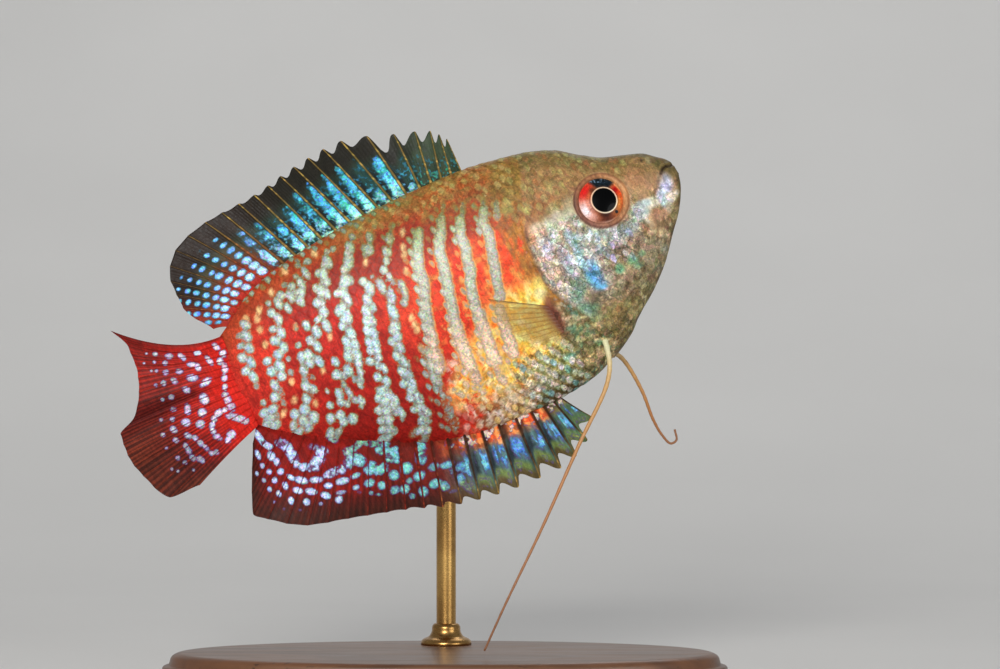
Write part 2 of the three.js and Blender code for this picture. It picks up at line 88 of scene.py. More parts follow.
class Line:
    """A smooth curve through given heights that never overshoots them."""

    def __init__(self, xs, ys):
        self.xs, self.ys = np.asarray(xs, float), np.asarray(ys, float)
        self.h = np.diff(self.xs)
        d = np.diff(self.ys) / self.h
        m = np.empty(len(self.xs))
        m[0], m[-1] = d[0], d[-1]
        for i in range(1, len(m) - 1):
            h0, h1 = self.h[i - 1], self.h[i]
            m[i] = 0 if d[i - 1] * d[i] <= 0 else 3 * (h0 + h1) / ((2 * h1 + h0) / d[i - 1] + (h1 + 2 * h0) / d[i])
        self.m = m

    def __call__(self, x):
        x = np.clip(np.asarray(x, float), self.xs[0], self.xs[-1])
        i = np.clip(np.searchsorted(self.xs, x, side="right") - 1, 0, len(self.xs) - 2)
        h = self.h[i]
        t = (x - self.xs[i]) / h
        return (self.ys[i] * (1 + 2 * t) * (1 - t) ** 2 + self.m[i] * h * t * (1 - t) ** 2
                + self.ys[i + 1] * t * t * (3 - 2 * t) + self.m[i + 1] * h * t * t * (t - 1))


def ease(a, b, x):
    t = np.clip((np.asarray(x, float) - a) / (b - a), 0, 1)
    return t * t * (3 - 2 * t)


def mix(a, b, t):
    return a + (b - a) * t


def col(a, b, t):
    """Between two colours, by an array."""
    return np.asarray(a, float) + (np.asarray(b, float) - np.asarray(a, float)) * np.asarray(t)[..., None]


def bell(x, at, wide):
    return np.exp(-(((x - at) / wide) ** 2))


COAT = Line([-24, 22, 27, 30, 37], [0.13, 0.12, 0.06, 0.03, 0.02])  # how far the skin lies inside the solids
_lx = [r[0] for r in LINES]
_back, _belly, _half = (Line(_lx, [r[k] for r in LINES]) for k in (1, 2, 3))
back = lambda x: _back(x) - COAT(x)
belly = lambda x: _belly(x) + COAT(x)
half = lambda x: np.maximum(_half(x) - COAT(x), 0.03)
gill_x = Line([g[0] for g in GILL_EDGE], [g[1] for g in GILL_EDGE])
sway = lambda x: SWAY * np.maximum(0, (SWAY_FROM - np.asarray(x, float)) / (SWAY_FROM - SWAY_TO)) ** 2


def section(x, s):
    """Half the body's width at x, at a height from belly (0) to back (1)."""
    widest = mix(0.52, 0.57, ease(20, 27, x))
    low = s < widest
    u = np.where(low, s / widest, (1 - s) / (1 - widest))
    keen = np.where(low, mix(0.72, 0.5, ease(6, 14, x)), 0.55)
    return half(x) * np.maximum(0, 1 - (1 - u) ** 2) ** keen


def flank_y(x, z):
    s = np.clip((z - belly(x)) / (back(x) - belly(x)), 0, 1)
    return section(x, s)


def ring_point(x, phi):
    """A point of the skin: phi is 0 at the belly, pi at the back, with the right flank between them and the left one beyond."""
    phi = np.mod(phi, 2 * np.pi)
    right = phi <= np.pi
    s = 0.5 - 0.5 * np.cos(np.where(right, phi, 2 * np.pi - phi))
    y = section(x, s)
    return np.stack([x + 0 * phi, np.where(right, -y, y) + sway(x), mix(belly(x), back(x), s)], -1)


def ring_normal(x, phi, ex=0.03, ep=0.006):
    a = ring_point(x + ex, phi) - ring_point(x - ex, phi)
    b = ring_point(x, phi + ep) - ring_point(x, phi - ep)
    n = np.cross(a, b)
    n /= np.maximum(np.linalg.norm(n, axis=-1, keepdims=True), 1e-12)
    return n


def placed(p):
    """From the fish's own frame in millimetres to the model's frame in metres."""
    p = np.asarray(p, float)
    c, s = math.cos(PITCH), math.sin(PITCH)
    return np.stack([p[..., 0] * c - p[..., 2] * s + FISH_AT[0], p[..., 1] + FISH_AT[1],
                     p[..., 0] * s + p[..., 2] * c + FISH_AT[2]], -1) * 0.001


# ---------------------------------------------------------------- noise made by arithmetic
def _hash(i, j, seed):
    n = (i.astype(np.int64) * 374761393 + j.astype(np.int64) * 668265263 + seed * 974634777) & 0xFFFFFFFF
    n = ((n ^ (n >> 13)) * 1274126177) & 0xFFFFFFFF
    return ((n ^ (n >> 16)) & 0xFFFFFF) / float(0xFFFFFF)


def vnoise(x, z, size, seed=0):
    """Smooth noise from 0 to 1 with features about size across."""
    x, z = np.asarray(x, float) / size, np.asarray(z, float) / size
    i, j = np.floor(x), np.floor(z)
    fx, fz = x - i, z - j
    fx, fz = fx * fx * (3 - 2 * fx), fz * fz * (3 - 2 * fz)
    a, b = _hash(i, j, seed), _hash(i + 1, j, seed)
    c, d = _hash(i, j + 1, seed), _hash(i + 1, j + 1, seed)
    return mix(mix(a, b, fx), mix(c, d, fx), fz)


def cloud(x, z, size, seed=0):
    return 0.6 * vnoise(x, z, size, seed) + 0.4 * vnoise(x, z, size / 2.1, seed + 7)


def slid(x, y, z):
    """Places for the paint, slid a little next to the ridges, so that the markings don't run straight across them."""
    across = (y - sway(x)) / PX
    along = across * np.exp(-(across / 26.0) ** 2) * ease(290, 262, x / PX)
    return x / PX + 0.9 * along, z / PX


def to_line(px, pz, line):
    """Distance from points to a line of a few straight stretches, and how far along it the nearest place is, from 0 to 1."""
    best, where, total = np.full(np.shape(px), 1e9), np.zeros(np.shape(px)), 0.0
    lengths = [math.dist(a, b) for a, b in zip(line, line[1:])]
    for (ax, az), (bx, bz), length in zip(line, line[1:], lengths):
        t = np.clip(((px - ax) * (bx - ax) + (pz - az) * (bz - az)) / length ** 2, 0, 1)
        d = np.hypot(px - mix(ax, bx, t), pz - mix(az, bz, t))
        near = d < best
        best, where = np.where(near, d, best), np.where(near, (total + t * length) / sum(lengths), where)
        total += length
    return best, where


# ---------------------------------------------------------------- markings, in units of PX in the fish's own frame
PITCH_X, PITCH_L, LEAN = 1.56, 0.75, 0.2125  # scales: along a row, from row to row (millimetres), and how the columns lean

BARS = [  # half width, strength, line
    (4.6, 0.72, [(119, 54), (117, 40)]), (5.0, 0.62, [(108, 65), (106, 57)]),
    (6.0, 0.92, [(105, 52), (100, 40), (103, 28), (101, 14), (98, 0), (97, -8), (94, -18), (92, -34)]), (7.0, 0.92, [(86, -46), (84, -62), (82, -80), (80, -92)]),
    (5.2, 0.70, [(87, 65), (84, 57)]), (6.2, 0.95, [(80, 52), (75, 36), (77, 22), (74, 12), (74, 0), (69, -10), (66, -24), (65, -36)]),
    (7.8, 0.95, [(65, -42), (63, -60), (61, -78), (60, -92)]), (7.0, 0.75, [(60, -98), (58, -112)]),
    (4.8, 0.62, [(67, 72), (65, 66)]), (6.4, 0.98, [(62, 60), (57, 46), (50, 30), (50, 14), (47, -4), (44, -20), (40, -40)]),
    (7.8, 0.95, [(39, -45), (37, -60), (36, -75), (35, -88)]), (7.0, 0.75, [(35, -96), (32, -114)]),
    (6.6, 0.98, [(36, 56), (32, 46), (28, 34), (25, 22), (25, 8), (21, -6), (17, -20), (13, -38), (11, -52)]), (10.5, 0.95, [(5, -62), (3, -74)]),
    (7.0, 0.85, [(-2, -80), (-4, -96)]), (6.6, 0.75, [(-4, -104), (-5, -120)]), (6.0, 0.75, [(-5, -126), (-5, -138)]), (4.5, 0.7, [(10, -103), (14, -111)]),
    (6.0, 0.70, [(-14, -154), (0, -154)]),
    (5.0, 0.60, [(11, 72), (9, 67)]), (5.8, 0.92, [(6, 61), (0, 50), (-3, 42)]), (5.4, 0.95, [(-8, 34), (-8, 26), (-5, 18)]), (4.8, 1.00, [(2, 15), (4, 6), (0, -6)]),
    (4.6, 0.60, [(-6, 77), (-8, 74)]), (6.0, 0.90, [(-13, 70), (-17, 60), (-22, 54)]), (3.6, 0.70, [(-22, 32), (-21, 30)]),
    (6.0, 1.00, [(-18, 25), (-16, 14), (-11, 7), (-13, -4), (-15, -14)]),
    (7.2, 1.00, [(-17, -18), (-19, -28), (-23, -40), (-27, -52), (-25, -62), (-29, -74), (-30, -90), (-31, -104), (-31, -118), (-34, -130)]),
    (6.5, 0.95, [(-44, -128), (-36, -127), (-33, -136), (-36, -146), (-40, -155)]),
    (6.2, 1.00, [(-34, 31), (-29, 24), (-34, 12), (-37, 2), (-42, -8), (-44, -22), (-46, -36)]), (5.4, 1.00, [(-56, -46), (-46, -42), (-47, -58)]),
    (5.6, 1.00, [(-57, -63), (-49, -70), (-52, -76)]), (7.2, 1.00, [(-59, -76), (-61, -86), (-66, -95), (-66, -106), (-67, -118), (-69, -126)]),
    (5.8, 1.00, [(-52, -80), (-53, -92), (-50, -106)]),
    (5.0, 0.85, [(-30, 77), (-31, 74)]), (6.8, 1.00, [(-35, 69), (-41, 56), (-49, 42), (-55, 28), (-58, 16), (-62, 4), (-64, -8), (-67, -18), (-70, -32), (-68, -42)]),
    (5.2, 0.90, [(-71, -48), (-74, -60)]), (5.2, 1.00, [(-89, -31), (-90, -36)]), (5.6, 1.00, [(-93, -46), (-82, -43), (-80, -50)]),
    (4.8, 0.85, [(-79, -54), (-77, -64)]), (4.6, 0.85, [(-91, -52), (-90, -74)]), (5.6, 0.92, [(-98, -62), (-100, -76)]), (4.6, 0.85, [(-88, -76), (-84, -84)]),
    (4.2, 0.85, [(-80, -70), (-81, -80)]),
    (5.0, 0.80, [(-52, 72), (-57, 73)]), (6.2, 1.00, [(-61, 64), (-68, 54), (-74, 44), (-79, 34), (-84, 26), (-82, 17)]), (4.6, 1.00, [(-91, 13), (-86, 12)]),
    (5.2, 1.00, [(-84, 8), (-85, -3)]),
    (4.6, 0.90, [(-79, 70), (-90, 70)]), (4.8, 1.00, [(-87, 66), (-87, 56)]), (5.6, 1.00, [(-96, 61), (-95, 50), (-98, 44), (-101, 35)]),
    (5.0, 1.00, [(-104, 14), (-103, 8)]), (5.6, 1.00, [(-97, 6), (-96, -3)]), (5.6, 1.00, [(-106, -3), (-101, -10), (-101, -16)]), (5.6, 1.00, [(-106, -22), (-105, -31)]),
    (4.4, 0.70, [(-110, 58), (-110, 56)]), (4.8, 1.00, [(-104, 54), (-102, 46)]), (5.2, 1.00, [(-109, 50), (-109, 42)]), (5.0, 1.00, [(-118, 50), (-115, 46)]),
    (5.0, 1.00, [(-115, 37), (-115, 32)]), (5.2, 1.00, [(-132, 45), (-124, 46), (-123, 38)]),
    (5.6, 1.00, [(-133, 38), (-130, 32), (-128, 24)]), (5.0, 1.00, [(-139, 21), (-136, 19)]), (5.2, 1.00, [(-132, 17), (-131, 11)]), (5.2, 1.00, [(-140, 11), (-140, 7)]),
    (5.0, 1.00, [(-134, 3), (-134, -4)]), (5.4, 1.00, [(-143, -5), (-141, -5)]), (4.0, 0.85, [(-135, -13), (-133, -13)]), (4.2, 0.80, [(-138, -26), (-136, -26)]),
    (5.4, 1.00, [(-155, -18), (-146, -16), (-147, -28)]), (5.2, 1.00, [(-157, -30), (-157, -36)]), (5.4, 1.00, [(-161, -42), (-160, -46)]),
    (3.8, 0.75, [(-153, -38), (-155, -50)]), (5.0, 1.00, [(-156, -7), (-154, -7)]),
    (5.2, 1.00, [(-121, -16), (-112, -15)]), (5.2, 1.00, [(-115, -22), (-116, -27)]), (5.2, 1.00, [(-122, -20), (-125, -32), (-127, -40)]),
    (5.2, 1.00, [(-128, -44), (-124, -50), (-132, -56)]), (3.6, 0.60, [(-118, -36), (-118, -42)]), (4.2, 0.85, [(-120, -4), (-118, -4)]), (3.6, 0.60, [(-115, 16), (-115, 10)]),
    (7.0, 1.00, [(-170, -54), (-167, -56), (-169, -68)]), (4.4, 0.85, [(-173, -43), (-171, -43)]),
    (5.2, 1.00, [(-160, 37), (-161, 33)]), (5.2, 1.00, [(-163, 27), (-163, 21)]), (4.2, 0.90, [(-170, 27), (-168, 27)]), (5.2, 1.00, [(-172, 17), (-166, 13)]),
    (5.0, 1.00, [(-175, 6), (-174, 4)]), (5.2, 1.00, [(-169, 0), (-170, -5)]), (5.0, 1.00, [(-177, -7), (-176, -9)]), (5.2, 1.00, [(-173, -14), (-172, -20)]),
    (4.0, 0.80, [(-173, -26), (-171, -26)]),
    (4.8, 0.95, [(-189, 29), (-182, 17)]), (4.2, 0.80, [(-188, 14), (-187, 5)]), (4.2, 0.62, [(-201, 16), (-196, 4), (-195, -13)]),
    (5.6, 0.95, [(-198, -22), (-197, -36)]), (4.8, 0.90, [(-202, -42), (-193, -50), (-188, -55)]),
    (10.5, 1.00, [(-142, -68), (-140, -80)]), (5.0, 1.00, [(-114, -69), (-113, -73)]), (5.6, 1.00, [(-118, -82), (-116, -85)]), (6.2, 1.00, [(-108, -82), (-106, -92)]),
    (5.6, 1.00, [(-98, -89), (-97, -95)]), (4.8, 1.00, [(-118, -92), (-118, -99), (-113, -104)]), (4.4, 0.90, [(-111, -57), (-109, -57)]),
    (5.0, 0.90, [(-150, 61), (-140, 70)]), (3.8, 0.70, [(-119, 75), (-117, 75)]), (4.8, 0.95, [(-110, 88), (-110, 80)]), (3.6, 0.70, [(-143, 80), (-141, 80)]),
]
BEADS = [  # the bright spots that make up the bars of the rear half: x, z, half width, half height, strength
    (-160, 35, 4, 5.5, 1), (-169, 27, 2.8, 3, 0.8), (-163.5, 24, 4.2, 6, 1), (-172, 17, 3.6, 3.2, 0.9), (-166, 12, 4, 5.5, 1), (-175, 5.5, 4, 5, 1),
    (-169.5, -2, 3.8, 6, 1), (-177, -8, 4, 4.2, 1), (-172.5, -16, 3.6, 6.5, 1), (-173, -26, 3.2, 3.5, 0.7), (-155, -7, 4.5, 4, 1), (-142, -5, 5, 5, 1),
    (-140, 9, 5, 5, 1), (-131, 14, 4, 6, 1), (-134, 0, 4, 6, 1), (-134, -13, 2.8, 3, 0.8), (-137, -26, 3.4, 4, 0.75), (-154.5, -18, 5, 5, 1),
    (-145.3, -16, 5, 6.5, 1), (-147, -26, 4.6, 5, 1), (-157, -32, 4, 6, 1), (-160.5, -43, 4.8, 5.2, 1), (-153, -40, 3, 6, 0.55), (-155, -51, 3, 5, 0.6),
    (-172, -43.5, 2.8, 3.5, 0.85), (-173.5, -53.5, 4, 4.2, 1), (-166, -53.5, 4.8, 4.6, 1), (-170, -61, 5.5, 5, 0.9), (-173, -66, 3.5, 5, 0.9),
    (-166, -69, 4.5, 5, 0.95), (-163, -61, 2.5, 4, 0.6), (-148, -66, 4.4, 5.2, 1), (-138, -65.5, 5, 5.6, 1), (-151, -76, 3.4, 5, 0.95), (-142, -75, 4.4, 6, 0.9),
    (-132, -76, 4.6, 6, 1), (-147, -84.5, 4.4, 4.6, 0.95), (-138, -83, 4, 5.5, 0.9), (-120.3, -16, 4.4, 5, 1), (-112.8, -15.5, 4.4, 5, 1), (-115, -24.4, 4.2, 5.4, 1),
    (-105, -26.7, 4.4, 6.2, 1), (-109, -20, 3, 4, 0.7), (-124, -29.5, 4, 5, 1), (-126, -37, 3, 3.5, 0.7), (-128.3, -44.5, 4.6, 5.5, 1), (-122, -50, 3.6, 5, 0.9),
    (-132.8, -56, 4.2, 5.4, 1), (-127, -54, 2.4, 4, 0.5), (-118, -39, 2.8, 4, 0.6), (-119, -4, 3.6, 3.2, 0.85), (-115, 13, 2.5, 4.6, 0.6), (-104, 11, 4, 5.5, 1),
    (-96, 1.6, 4.8, 6.2, 1), (-106, -4, 4.4, 4.4, 1), (-101, -12, 4.4, 6.2, 1), (-82, 17, 5, 5.6, 1), (-90.5, 12.2, 4, 3.2, 1), (-84.2, 3.3, 4.4, 7.4, 1),
    (-89.7, -32.8, 4, 5.2, 1), (-93.6, -45.5, 5, 5, 1), (-81, -46, 4.6, 6.2, 1), (-87, -49, 3, 4, 0.8), (-54, 21, 4, 8, 1), (-62, 29, 4.4, 4, 1), (-63, 13, 5, 6, 1),
    (-67, 12, 4.4, 5, 1), (-60, 4, 4.6, 7, 1), (-66, 2, 3.6, 4.4, 0.9), (-69, -3, 4, 4.4, 1), (-63, -13, 5, 6.5, 1), (-71, -18, 4.4, 5, 1), (-64, -24, 5, 6, 1),
    (-75, -33, 4.6, 5.4, 1), (-66, -34, 5, 6.5, 1), (-72, -26, 4.4, 4.4, 0.9), (-68, -43, 4, 5, 1), (-70, -51, 3.6, 5, 0.9), (-73, -59, 3.4, 4.6, 0.85),
    (-77, -56, 3, 4, 0.6), (-50, 38, 5.4, 6.6, 1), (-55, 34, 3.6, 5, 0.9), (-45, 36, 3.4, 5, 0.85), (-56, 27, 4.4, 4.6, 1), (-42, 54, 5, 7, 1), (-48, 49, 4, 4.4, 0.95),
    (-38, 57, 3.2, 5, 0.8), (-36, 67, 4.4, 6, 1), (-41, 62, 3.4, 4, 0.9), (-30, 76, 3.4, 4, 0.85), (-59, 72, 3, 3, 0.8), (-52, 72, 3, 3.2, 0.85), (-62, 62, 4.6, 7, 1),
    (-67, 59, 3, 4.4, 0.85), (-70, 52, 4.4, 6, 1), (-75, 55, 3.4, 4, 0.9), (-69, 45, 3.8, 5.6, 1), (-78, 38, 4.8, 6, 1), (-82, 42, 3.4, 4, 0.95), (-73, 33, 4, 6, 1),
    (-86, 28, 4.4, 4.4, 1), (-80, 26, 3.6, 4.6, 0.9), (-90, 70, 3.6, 3, 0.7), (-80, 70, 3.8, 3.4, 0.95), (-86.5, 60, 3.2, 7, 1), (-97, 60, 2.8, 3.5, 0.8),
    (-94.5, 52, 3.6, 7, 1), (-97, 44, 3.8, 5, 1), (-101, 36, 4, 6.2, 1), (-132, 46, 2.8, 3, 0.9), (-123, 42, 4, 6.6, 1), (-117.5, 49, 3.6, 4.4, 1),
    (-115.5, 34, 3.4, 5.6, 1), (-109, 44, 3.8, 6.6, 1), (-110.5, 57, 3, 3.2, 0.7), (-104, 53, 3.6, 4, 1), (-103, 45, 2.6, 5, 0.8), (-119, 43, 2, 3, 0.5),
    (-133, 36, 4.2, 5, 1), (-129, 28, 4, 6.4, 1), (-138, 20.5, 4, 3.6, 1), (-131, 21, 3, 3, 0.7), (-140, 69, 4.6, 4.6, 1), (-148, 62, 4.6, 4.6, 0.9),
    (-118, 75, 4, 2.6, 0.6), (-110, 84, 3.4, 6.4, 0.95), (-142, 80, 3, 2.6, 0.8), (-29, 22, 4.8, 7.6, 1), (-35, 12, 4.4, 6.5, 1), (-32, 3, 3.4, 5.4, 0.9),
    (-40, 2, 4.6, 6, 1), (-43, -8, 4.6, 6, 1), (-37, -9, 3.4, 6, 0.9), (-46, -17, 4.6, 6, 1), (-41, -20, 4, 6.6, 1), (-49, -28, 4.4, 6, 1), (-43, -30, 4, 6, 1),
    (-51, -36, 4, 4.6, 0.95), (-45, -38, 4.4, 4.6, 1), (-56, -45.5, 4.4, 4.6, 1), (-46, -45, 3.8, 4.6, 1), (-46, -57, 3.8, 5.6, 1), (-51, -52, 3.4, 4.6, 0.9),
    (-56, -63, 4.4, 4.8, 1), (-49, -70, 4, 5.2, 1), (-53, -76, 3.6, 3.6, 0.8), (-59, -77, 4.4, 5, 1), (-54, -84, 4.4, 5, 1), (-65, -83, 4.4, 4.4, 1), (-60, -88, 4.4, 5, 1),
    (-50, -90, 3.8, 5.6, 1), (-55, -95, 4, 4.6, 0.9), (-70, -94, 4.2, 4.6, 1), (-63, -97, 4.6, 4.6, 1), (-72, -104, 4, 4.2, 1), (-64, -106, 4.6, 5, 1),
    (-50, -104, 3.6, 6, 1), (-56, -102, 3, 4, 0.8), (-73, -113, 3.6, 3.8, 1), (-66, -115, 4.4, 4.6, 0.9), (-61, -119, 3, 4, 0.8), (-73, -122, 4, 4, 0.9),
    (-67, -123, 4, 4, 0.9), (-52, -111, 2.4, 3, 0.6), (-100, -64, 4, 6, 1), (-102, -72, 3.8, 5, 0.95), (-97, -76, 3.4, 4, 0.8), (-90, -66, 3.4, 6.6, 0.9),
    (-92, -58, 3, 4, 0.7), (-87, -76, 3.6, 4, 0.85), (-82, -78, 3.6, 5.4, 0.9), (-85, -84, 2.8, 3, 0.8), (-79, -57, 3, 4, 0.75), (-76, -64, 3, 4.4, 0.85),
    (-113.3, -71, 3.4, 4, 1), (-117, -83.3, 4.6, 5, 1), (-107, -84, 4.4, 5, 1), (-106, -91, 4.4, 5, 0.95), (-97, -92, 4.8, 5.4, 1), (-119, -97, 3.6, 5.6, 1),
    (-112, -99, 4, 4, 0.8), (-114, -105, 3.6, 3.6, 0.85), (-110, -57, 2.6, 3.2, 0.85), (-17, 19, 3.8, 8, 1), (-9, 8, 3, 8, 1), (-14.5, -9, 4.6, 9, 1), (-13, 2, 3, 4, 0.9),
    (-18, -23, 4.4, 6, 1), (-23, -25, 3.4, 4.6, 0.9), (-20, -33, 4.6, 5.4, 1), (-27, -35.5, 4, 4.6, 1), (-21, -44, 4, 6, 1), (-28.5, -50.5, 4.4, 4.6, 1),
    (-23, -58, 3.6, 7, 1), (-27, -60, 3, 4, 0.8), (-30, -67, 4.4, 5.4, 1), (-24, -71, 3.4, 6, 0.9), (-35, -79, 4, 4, 1), (-26, -82, 4.2, 6, 1), (-31, -88, 4, 4.6, 0.95),
    (-35.5, -94, 3.8, 4.4, 1), (-27, -97, 4, 6.6, 1), (-37, -106.5, 3.8, 3.6, 1), (-29, -107, 4.4, 4.6, 0.95), (-26, -114, 3.8, 4.6, 1), (-34, -120, 4.4, 5, 0.95),
    (-28, -122, 3.4, 4, 0.7), (-38, -128, 5, 3.6, 1), (-32, -131, 4.4, 4, 0.9), (-22.5, 31.5, 2.8, 2.6, 0.7), (-33, 31, 4, 4, 1), (-14, 69, 3.8, 5.4, 0.95),
    (-6, 77, 3, 3, 0.6), (-18, 58, 5, 5.8, 1), (-23, 61, 3, 4.6, 0.8), (-24, 54, 2.6, 3, 0.7), (11, 71, 4.4, 4, 0.6), (5, 60, 4.8, 5.6, 0.95), (-1, 49, 4.6, 5.6, 1),
    (-4, 41, 4, 4.6, 0.9), (-9, 33, 4.2, 5, 1), (-6, 25, 3.2, 5, 1), (-4, 19, 2.6, 4, 0.9), (3, 10, 3.6, 8.4, 1), (0, -4, 3.6, 4.6, 1),
]
YELLOW_FLECKS = [
    (-148, 36), (-150, 25), (-151, 9), (-143, 43), (-157, 40), (-144, -53), (-140, -35), (-126, -64), (-105, -36), (-85, -8), (-125, 55), (-103, 70), (-70, 75),
    (16, 47), (16, 40), (20, 61), (12, 24), (1, -21), (1, -28), (2, -34), (-2, -52), (0, -56), (-158, -61), (-115, 14), (-25, 47),
]

RED, DEEP, FLAME, ORANGE = (188, 38, 28), (138, 20, 14), (222, 66, 38), (232, 96, 50)
GOLD, OLIVE, BROWN, NAPE = (246, 184, 80), (164, 120, 60), (104, 84, 50), (142, 110, 52)

HEAD_MARKS = [  # x, z, half length, half height, lean in degrees, colour, strength
    (150, 30, 30, 12, 0, (150, 92, 52), 0.6), (128, 45, 6, 9, 0, (170, 160, 90), 0.6), (146, 38, 5, 6, 0, (165, 160, 95), 0.7),
    (172, 50, 6, 5, 0, (160, 152, 92), 0.6), (172, 27, 9, 6, 10, (165, 160, 105), 0.7), (190, 22, 10, 12, 0, (160, 150, 112), 0.55),
    (140, 8, 6, 13, 5, (228, 150, 100), 0.85), (147, -18, 11, 24, 8, (206, 184, 166), 0.8), (154, -6, 6.5, 9, 0, (180, 186, 202), 0.85),
    (163, 5, 5, 15, 5, (198, 212, 190), 0.85), (150, 14, 8, 6, 0, (215, 195, 165), 0.8), (172, 14, 7, 10, 0, (196, 190, 170), 0.8),
    (166, -30, 7, 20, 4, (172, 172, 186), 0.85), (176, -6, 4.5, 9, 0, (170, 180, 202), 0.9), (183, -14, 6, 9, 0, (122, 166, 156), 0.85),
    (178, -27, 5, 12, -8, (150, 182, 194), 0.8), (192, -25, 9, 18, 0, (196, 194, 192), 0.85), (208, -10, 14, 9, -15, (184, 192, 194), 0.8),
    (208, -24, 12, 11, 0, (178, 182, 178), 0.8), (228, -20, 14, 8, 12, (150, 172, 176), 0.7), (246, -8, 10, 8, 20, (176, 204, 208), 0.85),
    (190, 6, 6, 6, 0, (186, 210, 210), 0.8), (182, 12, 7, 9, 0, (170, 178, 150), 0.6), (216, -37, 16, 6, 4, (118, 106, 96), 0.7),
    (232, -30, 8, 5, 10, (136, 112, 100), 0.6), (232, -46, 34, 10, -6, (150, 132, 104), 0.75), (184, -50, 8, 14, 3, (92, 164, 214), 1.0),
    (182, -36, 5, 8, -5, (172, 198, 220), 0.95), (187, -62, 6, 4, 0, (110, 182, 226), 0.9), (196, -50, 5, 12, 0, (190, 182, 166), 0.8),
    (165, -54, 9, 9, 0, (122, 160, 144), 0.85), (152, -52, 7, 12, 38, (218, 198, 172), 0.85), (166, -79, 12, 7, -20, (108, 160, 138), 0.75), (160, -63, 7, 7, 0, (116, 156, 146), 0.7), (152, -88, 8, 4, -20, (206, 186, 140), 0.6),
    (171, -90, 9, 5, -12, (122, 174, 156), 0.8), (178, -72, 9, 7, 0, (118, 104, 84), 0.75), (208, -53, 4.2, 5, 0, (124, 186, 138), 0.95),
    (222, -50, 5, 4.5, 0, (124, 180, 132), 0.9), (225, -57, 4, 3, 0, (130, 176, 136), 0.8), (232, -47, 3.4, 3, 0, (140, 176, 130), 0.8),
    (256, -52, 6, 6, 0, (130, 160, 150), 0.7), (243, -66, 6, 3, 0, (120, 150, 152), 0.6), (268, -16, 14, 7, 12, (172, 130, 98), 0.65),
    (262, -4, 13, 5.5, -4, (226, 214, 198), 0.95), (252, -2, 8, 4, -6, (190, 210, 212), 0.9), (287, 8, 9, 11, -20, (192, 198, 226), 0.95), (278, 1, 8, 6, 30, (198, 204, 228), 0.9),
    (279, -8, 7, 6, 0, (188, 198, 214), 0.9), (291, -6, 8, 4.5, 20, (240, 228, 200), 0.95), (284, -10, 6, 3.5, 10, (206, 208, 226), 0.8), (283, -14, 6, 5, 30, (170, 160, 130), 0.8),
    (256, 24, 12, 14, 0, (184, 134, 92), 0.8), (272, 14, 10, 10, 0, (170, 132, 96), 0.8), (281, 22, 6, 12, 30, (164, 128, 88), 0.7),
    (281, 37, 5, 4, 0, (168, 150, 112), 0.8), (265, 40, 14, 6, -25, (166, 132, 84), 0.7), (292, 34, 10, 5, -25, (118, 100, 64), 0.8),
    (160, -98, 18, 10, 0, (170, 138, 96), 0.7), (185, -88, 16, 9, 0, (176, 144, 96), 0.7), (240, -62, 30, 10, 35, (142, 128, 96), 0.6),
    (129, 5, 3, 9, -10, (228, 78, 40), 0.9), (131, -42, 7, 13, -10, (228, 208, 116), 0.95),
    (128, -47, 6, 6, 0, (220, 214, 170), 0.8), (134, -72, 6, 20, 2, (104, 52, 38), 0.95), (141, -66, 5, 10, 20, (120, 76, 56), 0.7),
    (150, -109, 5, 4, 0, (122, 190, 140), 0.8), (140, -104, 7, 5, 0, (164, 206, 206), 0.8), (128, -116, 6, 4, 0, (130, 200, 205), 0.8),
]


def blob(X, Z, x, z, rx, rz, lean, soft=0.45):
    c, s = math.cos(math.radians(lean)), math.sin(math.radians(lean))
    dx, dz = X - x, Z - z
    r = np.hypot((dx * c + dz * s) / rx, (-dx * s + dz * c) / rz)
    return 1 - ease(1 - soft, 1 + soft, r)


def tiles(x, l):
    """The scale that shows at a place: its centre, and the place's offset from it. A scale lies over the ones behind it."""
    best_x, best_l = np.full(np.shape(x), -1e9), np.zeros(np.shape(x))
    r0 = np.round(l / PITCH_L)
    for k in (-1, 0, 1):
        r = r0 + k
        a = (l - r * PITCH_L) / PITCH_L
        margin = -0.62 * PITCH_X + 0.5 * PITCH_X * a * a
        off = 0.5 * np.mod(r, 2)
        c = np.floor((x - margin - LEAN * r * PITCH_L) / PITCH_X - off)
        cx = (c + off) * PITCH_X + LEAN * r * PITCH_L
        ok = (np.abs(a) <= 1) & (cx > best_x)
        best_x, best_l = np.where(ok, cx, best_x), np.where(ok, r * PITCH_L, best_l)
    return best_x, best_l, x - best_x, l - best_l


def bar_strength(X, Z, grow=0.0, table=None):
    out = np.zeros(np.shape(X))
    for w, power, line in table or BARS:
        near = (X > min(p[0] for p in line) - 20) & (X < max(p[0] for p in line) + 20) & (Z > min(p[1] for p in line) - 20) & (Z < max(p[1] for p in line) + 20)
        if not near.any():
            continue
        d, _ = to_line(X[near], Z[near], line)
        zz = Z[near]
        wide = w * mix(0.90, 1.04, ease(-50, 20, X[near])) * mix(1.0, 0.74, ease(40, 68, zz))
        out[near] = np.maximum(out[near], power * mix(1.0, 0.86, ease(44, 66, zz)) * (1 - ease(wide * 0.36 + grow, wide * 1.60 + grow, d)))
    return out


